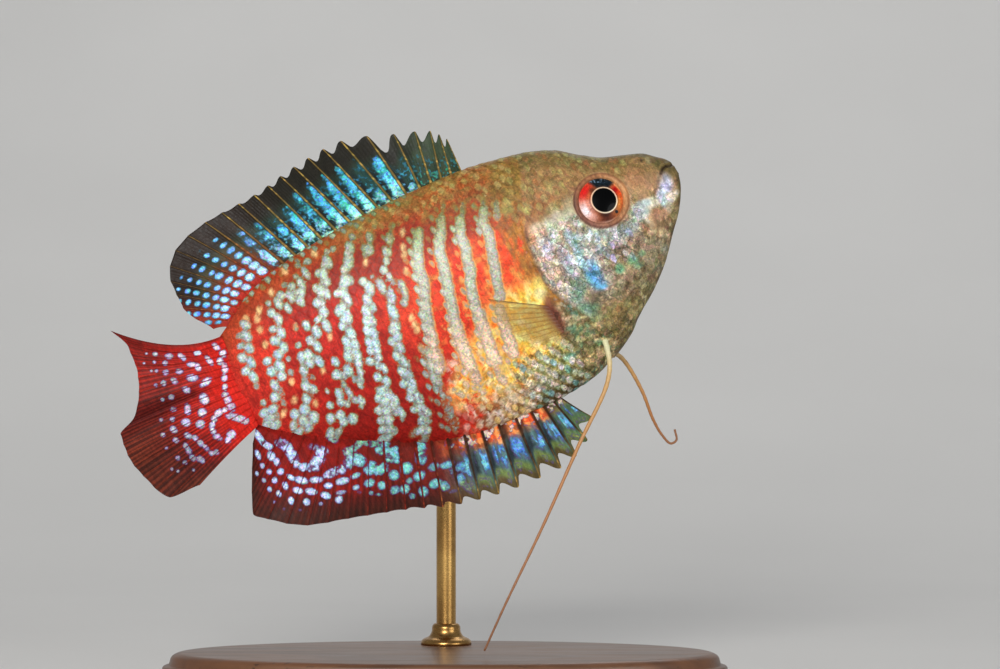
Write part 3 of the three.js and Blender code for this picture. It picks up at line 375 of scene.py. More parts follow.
def beads(X, Z):
    """The spots of the rear bars: how strongly a place is one, and how far to the side of its middle the place is."""
    x, z = np.ravel(X), np.ravel(Z)
    order = np.argsort(x)
    xs = x[order]
    best, side = np.zeros(x.shape), np.zeros(x.shape)
    for bx, bz, rx, rz, power in BEADS:
        a, b = np.searchsorted(xs, (bx - 10, bx + 10))
        at = order[a:b]
        at = at[np.abs(z[at] - bz) < 16]
        k = power * blob(x[at], z[at], bx, bz, rx * 1.06, rz * 1.10, 9, 0.50)
        won = k > best[at]
        best[at[won]], side[at[won]] = k[won], ((x[at] - bx) / rx)[won]
    return best.reshape(np.shape(X)), side.reshape(np.shape(X))


def body_ground(X, Z):
    """Colour under the bars, from the tail stalk to the snout, as 0-255 display values."""
    top, low = back(X * PX) / PX, belly(X * PX) / PX
    c = col(RED, FLAME, ease(-70, 10, X) * bell(Z, -8, 62))
    c = mix(c, col(FLAME, ORANGE, ease(20, 90, X)), (ease(-10, 60, X) * bell(Z, -12, 60))[..., None])
    c = mix(c, np.asarray((224, 60, 38.0)), (0.75 * bell(X, -158, 38) * bell(Z, 12, 42))[..., None])
    c = mix(c, np.asarray(DEEP, float), (0.85 * ease(-62, -100, Z) * ease(10, -30, X) * ease(-150, -90, X))[..., None])
    c = mix(c, np.asarray(DEEP, float), (0.5 * ease(-120, -150, Z) * ease(-60, -140, X))[..., None])
    c = mix(c, np.asarray((232, 120, 58.0)), (ease(-25, -60, Z) * ease(42, 66, X) * 0.9)[..., None])
    dusk = ease(12, 46, Z) * ease(-170, -140, X) * ease(124, 104, X)
    c = mix(c, np.asarray((146, 42, 22.0)), (0.88 * dusk)[..., None])
    c = mix(c, np.asarray((150, 24, 16.0)), (0.75 * ease(-20, -70, Z) * ease(-128, -104, X) * ease(20, -10, X) * ease(0.30, 0.62, cloud(X, Z, 16, 71)))[..., None])
    c = mix(c, np.asarray((150, 26, 18.0)), (0.6 * ease(0.50, 0.72, cloud(X, Z, 13, 73)) * ease(20, -10, X))[..., None])
    c = mix(c, np.asarray((238, 150, 70.0)), (0.75 * ease(0.52, 0.70, cloud(X, Z, 7, 75)) * ease(2, 40, X) * ease(40, 10, Z))[..., None])
    c = mix(c, np.asarray((222, 48, 28.0)), (0.70 * ease(0.52, 0.70, cloud(X, Z, 9, 77)) * ease(2, 30, X) * ease(-100, -84, Z) * ease(40, 20, Z))[..., None])
    c = mix(c, np.asarray(GOLD, float), (ease(-48, -84, Z) * ease(30, 66, X))[..., None])
    c = mix(c, np.asarray((150, 84, 46.0)), (0.7 * ease(34, 66, Z) * ease(20, 70, X))[..., None])
    rim = ease(top - 34, top - 8, Z)
    c = mix(c, col((178, 72, 36), OLIVE, ease(-110, 0, X)), (rim * mix(0.75, 0.95, ease(-80, 40, X)))[..., None])
    c = mix(c, np.asarray((176, 84, 38.0)), (0.7 * ease(0.48, 0.68, cloud(X, Z, 7, 79)) * ease(48, 66, Z) * ease(-150, -110, X))[..., None])
    c = mix(c, np.asarray((150, 134, 70.0)), (0.6 * ease(0.50, 0.66, cloud(X, Z, 5.5, 81)) * ease(54, 70, Z) * ease(-60, -20, X))[..., None])
    c = mix(c, np.asarray((134, 92, 50.0)), (0.75 * ease(100, 112, X) * ease(14, 26, Z) * ease(0.3, 0.5, cloud(X, Z, 6, 117)))[..., None])
    c = mix(c, np.asarray(NAPE, float), (ease(104, 134, X) * ease(16, 50, Z))[..., None])
    c = mix(c, col((180, 126, 52), (150, 92, 42), vnoise(X, Z, 5, 87)), (ease(111, 117, X + 0.10 * (Z - 20)) * ease(34, 22, Z) * 0.92)[..., None])
    for w, tint, line in ((4.4, (236, 70, 34), [(110, 24), (110, -12), (105, -40)]), (2.0, (206, 96, 40), [(121, 14), (121, -40)])):
        d, _ = to_line(X, Z, line)
        c = mix(c, np.asarray(tint, float), (0.92 * (1 - ease(w * 0.5, w * 1.5, d)) * ease(0.15, 0.4, vnoise(X, Z, 3.5, 89)))[..., None])
    # belly, mottled in front of the vent and pearly under the chest
    c = mix(c, col((200, 84, 48), (166, 122, 74), ease(20, 52, X)), (ease(-112, -124, Z) * ease(0, 26, X) * ease(104, 84, X))[..., None])
    c = mix(c, np.asarray((104, 66, 40.0)), (0.75 * ease(0.52, 0.62, cloud(X + 0.2 * Z, Z, 6, 125)) * ease(-110, -120, Z) * ease(14, 30, X) * ease(104, 84, X))[..., None])
    c = mix(c, np.asarray((240, 222, 190.0)), (0.80 * ease(0.54, 0.64, cloud(X + 0.2 * Z, Z, 5, 127)) * ease(-106, -116, Z) * ease(8, 24, X) * ease(110, 90, X))[..., None])
    slant = X + 0.22 * Z
    pearl = ease(0.50, 0.66, cloud(slant * 1.7, Z * 0.9, 7, 91))
    low_gold = ease(12, -12, Z + 45 + (75 - np.minimum(X, 90)) * 0.8) * ease(-132, -114, Z) * ease(-8, 8, X) * ease(140, 122, X)
    c = mix(c, np.asarray((255, 190, 78.0)), (0.92 * low_gold)[..., None])
    c = mix(c, np.asarray((248, 240, 222.0)), (0.80 * ease(96, 106, X) * ease(-82, -92, Z) * ease(0.42, 0.6, cloud(X, Z, 9, 115)))[..., None])
    c = mix(c, np.asarray((255, 240, 176.0)), (0.85 * low_gold * ease(0.46, 0.62, cloud(slant * 1.6, Z, 8, 93)))[..., None])
    c = mix(c, np.asarray((226, 92, 34.0)), (0.70 * low_gold * ease(0.54, 0.66, cloud(slant * 1.8, Z * 0.8, 9, 101)) * ease(100, 80, X))[..., None])
    c = mix(c, np.asarray((150, 104, 56.0)), (0.65 * low_gold * ease(0.55, 0.66, cloud(slant * 1.5, Z, 7, 103)) * ease(-80, -96, Z))[..., None])
    c = mix(c, np.asarray((238, 222, 206.0)), (0.85 * pearl * ease(-62, -84, Z) * ease(-4, 18, X) * ease(118, 100, X) * mix(1.0, 0.45, ease(46, 66, X) * ease(-112, -104, Z)))[..., None])
    c = mix(c, np.asarray((206, 44, 26.0)), (0.85 * ease(0.54, 0.66, cloud(slant * 1.5, Z, 9, 95)) * ease(-88, -98, Z) * ease(-4, 8, X) * ease(48, 28, X))[..., None])
    c = mix(c, np.asarray((164, 160, 118.0)), (ease(-98, -112, Z) * ease(72, 96, X))[..., None])
    c = mix(c, np.asarray(BROWN, float), (ease(low + 20, low + 5, Z) * ease(60, 100, X))[..., None])
    # between the gill cover and the breast
    under = ease(126, 136, X) * ease(-58, -68, Z)
    c = mix(c, col((148, 128, 90), (104, 90, 60), cloud(X, Z, 5, 119)), (0.95 * under)[..., None])
    c = mix(c, np.asarray((112, 160, 134.0)), (0.8 * under * ease(0.52, 0.64, cloud(X, Z, 6, 121)))[..., None])
    c = mix(c, np.asarray((214, 196, 152.0)), (0.8 * under * ease(0.52, 0.64, cloud(X, Z, 5, 123)))[..., None])
    # the head's own ground
    gx = gill_x(Z * PX) / PX
    head = ease(gx - 1.0, gx + 1.5, X)
    h = col((168, 150, 124), (176, 140, 104), ease(180, 260, X))
    h = mix(h, np.asarray((150, 116, 72.0)), ease(18, 34, Z + (X - 225) * -0.02)[..., None])
    h = mix(h, np.asarray((122, 104, 58.0)), (ease(top - 30, top - 6, Z))[..., None])
    h = mix(h, np.asarray((110, 94, 56.0)), (ease(240, 290, X) * ease(top - 22, top - 4, Z))[..., None])
    h = mix(h, np.asarray((146, 134, 104.0)), (ease(-24, -48, Z) * ease(200, 230, X))[..., None])
    h = mix(h, np.asarray((126, 110, 72.0)), (ease(-66, -88, Z - (X - 200) * 0.55))[..., None])
    h = mix(h, np.asarray((112, 98, 62.0)), (ease(low + 18, low + 4, Z))[..., None])
    mott = cloud(X, Z, 6, 113)
    zone = ease(186, 214, X) * ease(-10, -30, Z) * ease(306, 280, X)
    h = mix(h, np.asarray((200, 188, 146.0)), (0.60 * zone * ease(0.52, 0.68, mott))[..., None])
    h = mix(h, np.asarray((86, 70, 46.0)), (0.55 * zone * ease(0.47, 0.34, mott))[..., None])
    c = mix(c, h, head[..., None])
    for x, z, rx, rz, lean, tint, power in HEAD_MARKS:
        near = (np.abs(X - x) < 2.2 * max(rx, rz)) & (np.abs(Z - z) < 2.2 * max(rx, rz))
        if near.any():
            k = power * blob(X[near], Z[near], x, z, rx, rz, lean)
            side = ease(-4, 4, (X[near] - gx[near]) * (1 if x > 137 else -1))
            c[near] = mix(c[near], np.asarray(tint, float), (k * np.maximum(side, 0.15))[..., None])
    # painted light: the middle of the gill cover and the lower front of the head are made up to 13 % brighter
    painted_light = ease(gx, gx + 5, X) * ease(196, 178, X) * ease(20, 6, Z) * ease(-44, -28, Z) + ease(236, 256, X) * ease(-26, -40, Z)
    c = c * (1 + 0.13 * np.clip(painted_light, 0, 1))[..., None]
    c = c * (1 - (ease(-72, -98, Z) * ease(80, 110, X))[..., None] * np.asarray((0.06, 0.06, 0.14)))
    c = c * (1 - 0.08 * ease(240, 256, X) * ease(8, 20, Z))[..., None]
    c = np.minimum(c * (1 + low_gold[..., None] * np.asarray((0.08, 0.06, -0.08))), 255)
    # painted shade: a dark band along the gill cover's free edge, where the cover stands over the flank
    edge = bell(X - gx, 0.8, 1.7) * ease(-66, -40, Z) * ease(26, 14, Z)
    c = mix(c, np.asarray((92, 58, 40.0)), (0.75 * edge)[..., None])
    return c


def silver(X, Z):
    """How much of fine bright grains the place has, from 0 to 1."""
    gx = gill_x(Z * PX) / PX
    cheek = ease(gx, gx + 6, X) * ease(22, 8, Z) * ease(-70, -50, Z - (X - 200) * 0.3) * ease(268, 250, X)
    nape = 0.55 * ease(100, 130, X) * ease(14, 30, Z)
    olive = 0.55 * ease(52, 74, Z) * ease(-60, 0, X)
    throat = 0.75 * np.maximum(ease(170, 200, X) * ease(-20, -40, Z), ease(126, 136, X) * ease(-58, -68, Z))
    chest = ease(60, 90, X) * ease(-88, -104, Z)
    jaw = 0.7 * ease(262, 272, X) * ease(18, 6, Z)
    full = np.clip(np.maximum.reduce([cheek, nape, chest, jaw, olive, throat, 0.35 + 0 * X]), 0, 1)
    return full * ease(26, 31, np.hypot(X - EYE["x"] / PX, Z - EYE["z"] / PX))


def bar_colour(X, Z):
    c = col((204, 226, 226), (182, 194, 188), ease(-60, 20, X))
    c = mix(c, np.asarray((176, 214, 222.0)), (0.6 * ease(0.45, 0.65, cloud(X, Z, 10, 83)) * ease(20, -20, X))[..., None])
    c = mix(c, np.asarray((150, 166, 112.0)), (0.85 * ease(28, 62, Z) * ease(-70, 20, X))[..., None])
    c = mix(c, np.asarray((176, 194, 156.0)), (0.42 * ease(24, 56, Z) * ease(20, -60, X))[..., None])
    c = mix(c, np.asarray((236, 212, 196.0)), (0.85 * ease(-24, -62, Z) * ease(-12, 8, X + 0.2 * Z + 10))[..., None])
    c = mix(c, np.asarray((190, 214, 206.0)), (0.5 * ease(-84, -110, Z) * ease(-10, -40, X))[..., None])
    c = mix(c, np.asarray((214, 222, 250.0)), (0.5 * ease(-176, -192, X))[..., None])
    return c


def body_paint(X, Z, CX=None, CZ=None):
    """Ground and bar colour, strip and spot strength at places, of which CX, CZ is the middle of the scale there."""
    ground, strip = body_ground(X, Z), bar_strength(X, Z, -0.6)
    off = ease(126, 132, X)
    rear = ease(7, 2, X + 18 * ease(-44, -56, Z))
    long_bars = [b for b in BARS if math.dist(b[2][0], b[2][-1]) > 18]
    strip = mix(strip * (1 - off), 0.62 * bar_strength(X, Z, -0.6, long_bars), rear)
    strip = strip * (1 - 0.45 * ease(0.50, 0.60, cloud(X + 0.2 * Z, Z, 5, 129)) * ease(-84, -104, Z) * ease(-16, -6, X))
    round_spots, side = beads(X, Z)
    strip = np.maximum(strip, round_spots)
    fleck = np.zeros(np.shape(X))
    for x, z in YELLOW_FLECKS:
        fleck = np.maximum(fleck, blob(X, Z, x, z, 2.6, 4.2, -12))
    ground = mix(ground, np.asarray((244, 216, 150.0)), (0.85 * fleck)[..., None])
    spot = None
    if CX is not None:
        spot = bar_strength(CX - 2.8, CZ, -0.1) * (1 - ease(126, 132, CX)) * ease(2, 8, CX + 18 * ease(-44, -56, CZ))
        base = np.abs(CZ - (back(CX * PX) / PX - 2.0))
        spot = np.maximum(spot, 1.0 * (1 - ease(4, 9, base)) * ease(62, 40, CX) * ease(-150, -130, CX))  # the pale row under the dorsal fin
    tint = bar_colour(X, Z)
    edge = ease(0.30, 0.9, round_spots)
    tint = mix(tint, np.asarray((206, 206, 238.0)), (0.60 * edge * ease(-0.15, -0.9, side))[..., None])
    tint = mix(tint, np.asarray((214, 220, 164.0)), (0.60 * edge * ease(0.15, 0.9, side))[..., None])
    tint = tint * (1 - (ease(-10, 30, Z) * ease(20, -10, X))[..., None] * np.asarray((0.04, 0.07, 0.09)))
    tint = tint * (1 - (ease(-90, -50, Z) * ease(-4, 12, X))[..., None] * np.asarray((0.04, 0.05, 0.08)))
    tint = tint * mix(np.asarray((1.0, 0.98, 0.95)), np.asarray((0.93, 0.93, 0.895)), ease(12, -4, X)[..., None])
    tint = tint * (1 + (ease(0.80, 1.0, round_spots) * ease(12, -4, X))[..., None] * np.asarray((0.01, 0.03, 0.09)))
    tint = np.minimum(tint * (1 + (ease(-50, -90, Z) * ease(-4, 12, X))[..., None] * np.asarray((0.07, 0.05, 0.0))), 255)
    return ground, tint, strip, spot


# ---------------------------------------------------------------- fins: rays, places and markings
def rays_of(table):
    n = [t[0] for t in table]
    return [Line(n, [t[k] for t in table]) for k in range(1, len(table[0]))]


dorsal_root, dorsal_tx, dorsal_tz = rays_of(DORSAL_RAYS)
anal_root, anal_tx, anal_tz = rays_of(ANAL_RAYS)
tail_tx, tail_tz = rays_of(TAIL_RAYS)


def dorsal_point(u, v):
    web = np.abs(np.sin(np.pi * u))
    fr = u - np.floor(u)
    bx, tx, tz = dorsal_root(u), dorsal_tx(u), dorsal_tz(u)
    bz = _back(bx) - 0.5
    length = np.hypot(tx - bx, tz - bz)
    notch = (mix(1.5, 0.1, ease(2, 16, u)) + 1.5 * bell(u, 4.5, 0.55)) * saw(fr, ease(16, 12, u))
    q = v * (1 - notch / length)
    x, z = mix(bx, tx, q), mix(bz, tz, q) + 0.5 * q * (1 - q)
    y = sway(x) + 0.5 * np.sin(0.55 * u) * q * q
    return x, y, z, length * q


def anal_point(u, v):
    fr = u - np.floor(u)
    bx, tx, tz = anal_root(u), anal_tx(u), anal_tz(u)
    bz = _belly(bx) + 0.5
    length = np.hypot(tx - bx, tz - bz)
    notch = mix(1.9, 0.08, ease(1, 13, u)) * saw(fr, ease(13, 9, u))
    q = v * (1 - notch / length)
    x, z = mix(bx, tx, q), mix(bz, tz, q) - 0.5 * q * (1 - q)
    y = sway(x) + 0.6 * np.sin(0.6 * u + 1) * q * q
    return x, y, z, length * q


def saw(fr, spiny):
    """The margin between two rays: even scallops, or for spines high behind one tip and lowest just before the next."""
    even = np.sin(np.pi * fr) ** 0.8
    skew = np.where(fr < 0.80, ease(0.04, 0.80, fr), ease(1.0, 0.80, fr))
    return mix(even, skew, spiny)


def tail_point(u, v):
    t = u / (TAIL["rays"] - 1)
    fr = u - np.floor(u)
    bx, bz = -21.4, mix(TAIL["top"] + 0.35, TAIL["bottom"] - 0.35, t)
    tx, tz = tail_tx(u), tail_tz(u)
    q = v * (1 - 0.004 * np.sin(np.pi * fr)) * (1 - 0.10 * ease(13.9, 15.0, u) ** 1.6)
    x = mix(bx, tx, q)
    z = mix(bz, tz, q) + 4 * q * (1 - q) * mix(TAIL["sag_top"], TAIL["sag_bottom"], ease(0, 0.35, t))
    fold = TAIL["fold"] * bell(t, TAIL["fold_at"], 0.07) + 0.45 * np.sin(9 * t)
    return x, sway(x) + fold * q, z, np.hypot(tx - bx, tz - bz) * q


def dots(X, Z, line, gap, along, across, seed, taper=0.0):
    """A row of oblong dots on a line."""
    total = sum(math.dist(a, b) for a, b in zip(line, line[1:]))
    near = (X > min(p[0] for p in line) - 12) & (X < max(p[0] for p in line) + 12) & (Z > min(p[1] for p in line) - 12) & (Z < max(p[1] for p in line) + 12)
    out = np.zeros(np.shape(X))
    if not near.any():
        return out
    d, w = to_line(X[near], Z[near], line)
    s = w * total
    best = np.zeros(s.shape)
    n = max(1, round(total / gap))
    i0 = np.clip(np.floor(s / gap), 0, n)
    for k in (-1, 0, 1):
        i = np.clip(i0 + k, 0, n)
        j = _hash(i, 0 * i, seed)
        j2 = _hash(i, 0 * i + 5, seed)
        at = (i + 0.25 * (j - 0.5)) * gap
        size = (0.84 + 0.36 * j2) * (1 - taper * np.clip(at / total, 0, 1))
        r = np.hypot((s - at) / (along * size), (d + 0 * s) / (across * size))
        best = np.maximum(best, 1 - ease(0.30, 1.42, r))
    out[near] = best
    return out


DORSAL_STREAKS = [  # web, where each blue stretch of it begins and ends (share of the height), strength
    (4, 0.04, 0.22, 0.7), (5, 0.04, 0.66, 1.0), (6, 0.04, 0.30, 0.7), (6, 0.55, 0.68, 0.5), (7, 0.05, 0.72, 1.0), (8, 0.05, 0.70, 1.0),
    (9, 0.04, 0.72, 1.0), (10, 0.10, 0.30, 0.9), (10, 0.34, 0.50, 0.95), (10, 0.54, 0.70, 0.8), (11, 0.10, 0.60, 1.0), (12, 0.04, 0.26, 0.9), (12, 0.32, 0.46, 0.9),
    (13, 0.06, 0.32, 0.95), (13, 0.36, 0.50, 0.9), (13, 0.56, 0.66, 0.8), (14, 0.06, 0.34, 1.0), (14, 0.40, 0.52, 0.9), (14, 0.58, 0.68, 0.85),
]


def web_spots(u, s, first, last):
    """Rows of pale spots between the soft rays of the dorsal fin's rear lobe: s is the height in millimetres."""
    w = np.floor(u)
    fr = u - w
    gap = 1.12
    i = np.floor(s / gap + 0.5 * np.mod(w, 2))
    j = _hash(w, i, 41)
    at = (i + 0.5 - 0.5 * np.mod(w, 2) + 0.2 * (j - 0.5)) * gap
    size = mix(0.56, 0.24, np.clip((s - first) / (last - first), 0, 1)) * (0.96 + 0.44 * j)
    wide = np.clip(0.44 - 0.036 * (s - first), 0.15, 0.42) * (0.95 + 0.4 * _hash(w, i, 43))
    r = np.hypot((s - at) / size, (fr - 0.5) / wide)
    return (1 - ease(0.30, 1.40, r)) * ease(first - 0.3, first + 0.2, at) * ease(last + 0.3, last - 0.3, at)


def dorsal_paint(u, v, x, z, s):
    X, Z = x / PX, z / PX
    soft = ease(13, 16, u)
    ground = col((34, 52, 36), (52, 68, 42), vnoise(X, Z, 6, 3))
    ground = mix(ground, np.asarray((22, 62, 62.0)), (0.85 * bell(v, 0.35, 0.4) * ease(2, 6, u) * ease(16, 11, u))[..., None])
    ground = mix(ground, np.asarray((10, 18, 22.0)), (0.85 * ease(0.55, 0.8, u - np.floor(u)) * bell(v, 0.3, 0.35) * ease(3, 5, u) * ease(15, 13, u))[..., None])
    ground = mix(ground, np.asarray((26, 24, 16.0)), (ease(0.55, 0.80, v) * ease(2, 5, u))[..., None])
    ground = mix(ground, np.asarray((34, 22, 15.0)), (ease(0.50, 0.8, v) * ease(10, 15, u))[..., None])
    red = ease(15, 19, u) * ease(0.42, 0.12, v)
    ground = mix(ground, col((120, 50, 30), (176, 40, 28), ease(0.4, 0.05, v)), np.clip(soft * ease(0.72, 0.2, v) + red, 0, 1)[..., None])
    ground = mix(ground, np.asarray((170, 44, 30.0)), (ease(19.5, 22.5, u) * 0.85)[..., None])
    fr = u - np.floor(u)
    blue = np.zeros(np.shape(u))
    for web, lo, hi, power in DORSAL_STREAKS:
        ragged = 0.30 * (cloud(X, Z, 5.0, 31) - 0.5)
        inside = ease(0.0, 0.16, fr) * ease(0.92, 0.40, fr + ragged + 0.30 * ease(0.3, 0.8, v))
        k = power * inside * ease(lo - 0.04, lo + 0.04, v + 0.4 * ragged) * ease(hi + 0.10, hi - 0.10, v + 0.5 * ragged) * (np.floor(u) == web)
        k = k * (0.62 + 0.5 * ease(0.25, 0.55, cloud(X, Z, 3.2, 37)))
        blue = np.maximum(blue, k)
    rear = web_spots(u, s, 1.0, 8.4) * ease(14.6, 15.0, u) * ease(23, 22.2, u)
    blue = np.maximum(blue, rear)
    sparkle = ease(0.46, 0.70, vnoise(X, Z, 2.0, 9)) * (1 - soft) * ease(0.02, 0.1, v) * ease(0.80, 0.5, v)
    blue = np.maximum(blue, sparkle * mix(0.50, 0.70, ease(0.45, 0.1, v)))
    tint = col((158, 232, 236), (84, 186, 236), ease(0.05, 0.4, v))
    tint = mix(tint, np.asarray((60, 176, 170.0)), (0.7 * ease(0.45, 0.65, cloud(X, Z, 6, 85)))[..., None])
    tint = mix(tint, np.asarray((60, 150, 132.0)), ((1 - ease(3.6, 4.6, u)))[..., None])
    tint = mix(tint, col((170, 212, 248), (112, 182, 246), ease(0.15, 0.6, v)), ease(12, 15, u)[..., None])
    low = ease(0.11, 0.04, v) * ease(0.42, 0.56, cloud(X, Z, 4, 131)) * ease(3, 5, u) * ease(16, 13, u)
    blue, tint = np.maximum(blue, 0.95 * low), mix(tint, np.asarray((168, 206, 168.0)), (0.8 * low)[..., None])
    return ground, blue, tint


def dorsal_ray_colour(u, v):
    c = col((150, 128, 62), (176, 138, 74), vnoise(v * 30, u * 9, 2, 5))
    return mix(c, np.asarray((150, 74, 38.0)), (ease(12, 16, u) * ease(0.9, 0.3, v))[..., None])


ANAL_SPOTS = [  # x, z, half length, half width, lean in degrees, strength
    (-190, -102, 2.3, 2.7, 0, 0.9), (-198, -107, 1.8, 2.3, 0, 0.8), (-186, -110, 2.7, 2.6, 0, 1.0), (-194, -116, 2.1, 2.3, 0, 0.85), (-192, -126, 2.3, 2.8, 0, 0.9),
    (-184, -120, 2.8, 3.1, 0, 1.0), (-192, -140, 1.8, 1.9, 0, 0.5), (-175, -104, 3.1, 3.7, 0, 1.0), (-175, -114, 3.3, 3.0, 0, 1.0), (-185, -134, 2.4, 3.2, 0, 0.9),
    (-176, -129, 2.7, 3.9, 0, 1.0), (-186, -150, 1.8, 1.8, 0, 0.4), (-176, -145, 2.8, 3.7, 0, 0.95), (-168, -123, 4.3, 2.3, -55, 1.0), (-166, -138, 4.9, 3.0, -35, 1.0),
    (-159, -130, 5.7, 3.4, -35, 1.0), (-162, -152, 3.3, 3.3, 0, 1.0), (-171, -157, 1.9, 1.9, 0, 0.45), (-154, -144, 5.8, 3.1, -35, 1.0), (-145, -135, 6.0, 3.1, -18, 1.0),
    (-142, -153, 4.8, 3.1, -40, 1.0), (-150, -159, 2.3, 2.1, 0, 0.65), (-136, -145, 4.1, 2.9, -20, 1.0), (-131, -162, 3.6, 3.4, 0, 0.95), (-127, -156, 5.0, 2.1, -10, 0.70),
    (-121, -146, 6.0, 3.3, -8, 1.0), (-111, -157, 3.4, 2.5, 0, 0.9), (-107, -146, 5.0, 2.5, 0, 0.85), (-110, -163, 3.0, 1.8, 0, 0.4), (-97, -158, 4.9, 3.6, 0, 0.95),
    (-86, -165, 4.1, 3.8, 0, 0.95), (-99, -168, 2.5, 2.4, 0, 0.7), (-93, -172, 3.6, 1.7, -25, 0.5), (-71, -160, 4.9, 4.6, 20, 0.95), (-57, -158, 5.7, 5.1, 10, 1.0),
    (-76, -174, 4.7, 3.7, 15, 0.85), (-66, -177, 4.6, 4.0, 20, 0.95), (-59, -171, 3.2, 2.9, 40, 0.8), (-48, -170, 5.7, 4.2, 10, 1.0), (-62, -186, 3.2, 2.8, 0, 0.7),
    (-50, -186, 4.3, 4.9, 0, 0.85), (-36, -183, 5.9, 4.0, 10, 0.95), (-28, -189, 4.2, 4.8, 20, 0.85), (-11, -189, 4.6, 6.0, -20, 0.8), (-22, -197, 5.0, 2.0, 0, 0.4),
    (-6, -198, 6.0, 2.6, 10, 0.5), (-31, -167, 5.4, 4.0, 0, 0.75), (-18, -170, 7.0, 3.4, 0, 0.8), (-5, -177, 6.2, 4.2, 0, 0.8), (-190, -90, 2.4, 5.0, 0, 0.95),
    (-178, -96, 3.5, 4.4, 0, 1.0), (-135, -104, 6.0, 3.6, -30, 0.5),
]
ANAL_STROKES = [  # half width, strength, line
    (3.4, 1.00, [(-184, -68), (-180, -82), (-176, -87)]), (5.4, 1.00, [(-165, -87), (-160, -92), (-158, -104), (-157, -112)]),
    (4.6, 1.00, [(-153, -118), (-145, -122)]), (6.6, 1.00, [(-140, -121), (-134, -117), (-129, -112)]),
    (4.2, 1.00, [(-133, -135), (-122, -134)]), (6.4, 0.95, [(-116, -134), (-108, -131), (-104, -126), (-97, -134)]),
    (4.0, 0.90, [(-107, -120), (-98, -120), (-88, -116), (-79, -123)]), (4.8, 0.95, [(-76, -132), (-66, -137), (-59, -138)]), (6.2, 1.00, [(-69, -141), (-64, -145)]),
    (5.4, 1.00, [(-93, -146), (-88, -143), (-84, -150), (-77, -149)]),
]


def anal_paint(u, v, x, z, s):
    X, Z = x / PX, z / PX
    fr = u - np.floor(u)
    front = ease(9.5, 6.5, u)
    ground = col((118, 20, 14), (146, 24, 17), vnoise(X, Z, 7, 13))
    ground = mix(ground, np.asarray((96, 30, 20.0)), (ease(-110, -70, X) * 0.7)[..., None])
    ground = mix(ground, np.asarray((88, 24, 18.0)), ease(0.55, 0.8, v)[..., None])
    ground = mix(ground, np.asarray((66, 28, 20.0)), ease(0.72, 0.95, v)[..., None])
    lines = 0.6 * (0.5 + 0.5 * np.sin(2 * np.pi * 3 * u)) + 0.4 * vnoise(u * 5, v * 3, 1.0, 55)
    ground = ground * mix(1.0, mix(0.72, 1.22, lines), ease(8, 11, u) * ease(0.2, 0.6, v))[..., None]
    base = col((222, 84, 42), (150, 80, 44), ease(0.42, 0.62, cloud(X, Z, 6, 15)))
    base = mix(base, np.asarray((236, 150, 84.0)), (0.8 * ease(0.52, 0.64, cloud(X, Z, 5, 105)))[..., None])
    base = mix(base, np.asarray((40, 26, 20.0)), (0.7 * ease(0.62, 0.92, fr))[..., None])
    f = mix(base, np.asarray((74, 104, 106.0)), ease(0.18, 0.38, v + 0.12 * (cloud(X, Z, 5, 107) - 0.5))[..., None])
    f = f * mix(0.62, 1.34, vnoise(u * 8, v * 2.2, 1.0, 133))[..., None]
    f = mix(f, np.asarray((12, 14, 22.0)), (0.62 * bell(v, 0.55, 0.24) * ease(0.50, 0.80, fr + 0.3 * (cloud(X, Z, 4, 109) - 0.5)))[..., None])
    f = mix(f, np.asarray((104, 122, 66.0)), (ease(0.66, 0.78, v) * ease(0.98, 0.84, v) * (1 - ease(0.28, 0.48, np.abs(fr - 0.5))))[..., None])
    f = mix(f, np.asarray((84, 70, 40.0)), ease(0.80, 0.93, v)[..., None])
    f = mix(f, np.asarray((82, 110, 74.0)), (ease(2.6, 1.2, u) * 0.7)[..., None])
    ground = mix(ground, f, front[..., None])
    blue = np.zeros(np.shape(u))
    for x0, z0, long, wide, lean, power in ANAL_SPOTS:
        near = (np.abs(X - x0) < 15) & (np.abs(Z - z0) < 15)
        blue[near] = np.maximum(blue[near], power * blob(X[near], Z[near], x0, z0, long * 1.12, wide * 1.12, lean, 0.58))
    blue = np.maximum(blue, bar_strength(X, Z, 0.3, ANAL_STROKES) * mix(0.45, 1.0, ease(0.34, 0.54, cloud(X, Z, 4.5, 57))))
    # bars that run down from the body
    run = bar_strength(X, Z) * mix(0.45, 1.0, ease(0.36, 0.56, cloud(X, Z, 4.5, 61)))
    blue = np.maximum(blue, 0.95 * run * ease(-150, -110, X) * ease(8.0, 9.5, u))
    band = bell(v, mix(0.42, 0.48, front), 0.19) * ease(0.34, 0.60, 0.5 * cloud(X * 1.2, Z * 0.8, 5, 19) + 0.5 * vnoise(u * 8, v * 2.6, 1.0, 135)) * ease(0.02, 0.16, fr) * ease(0.92, 0.5, fr)
    blue = np.maximum(blue, front * np.clip(1.25 * band, 0, 1))
    pearl = ease(0.34, 0.12, v) * ease(0.50, 0.64, cloud(X, Z, 5.5, 23)) * front
    blue = np.maximum(blue, 0.9 * pearl)
    green = front * bell(v, 0.84, 0.10) * ease(0.1, 0.3, fr) * ease(0.95, 0.7, fr) * ease(0.40, 0.6, cloud(X, Z, 4, 111))
    blue = np.maximum(blue, 0.75 * green)
    tint = col((184, 204, 240), (122, 196, 198), ease(-130, -84, X))
    tint = mix(tint, np.asarray((140, 180, 150.0)), (0.7 * ease(-132, -116, Z) * ease(-126, -112, X))[..., None])
    tint = mix(tint, col((120, 200, 214), (66, 112, 196), vnoise(X, Z, 5, 29)), (front * ease(0.2, 0.34, v))[..., None])
    tint = mix(tint, np.asarray((238, 206, 190.0)), (front * ease(0.3, 0.16, v))[..., None])
    tint = mix(tint, np.asarray((132, 150, 84.0)), (front * ease(0.68, 0.76, v))[..., None])
    return ground, blue, tint


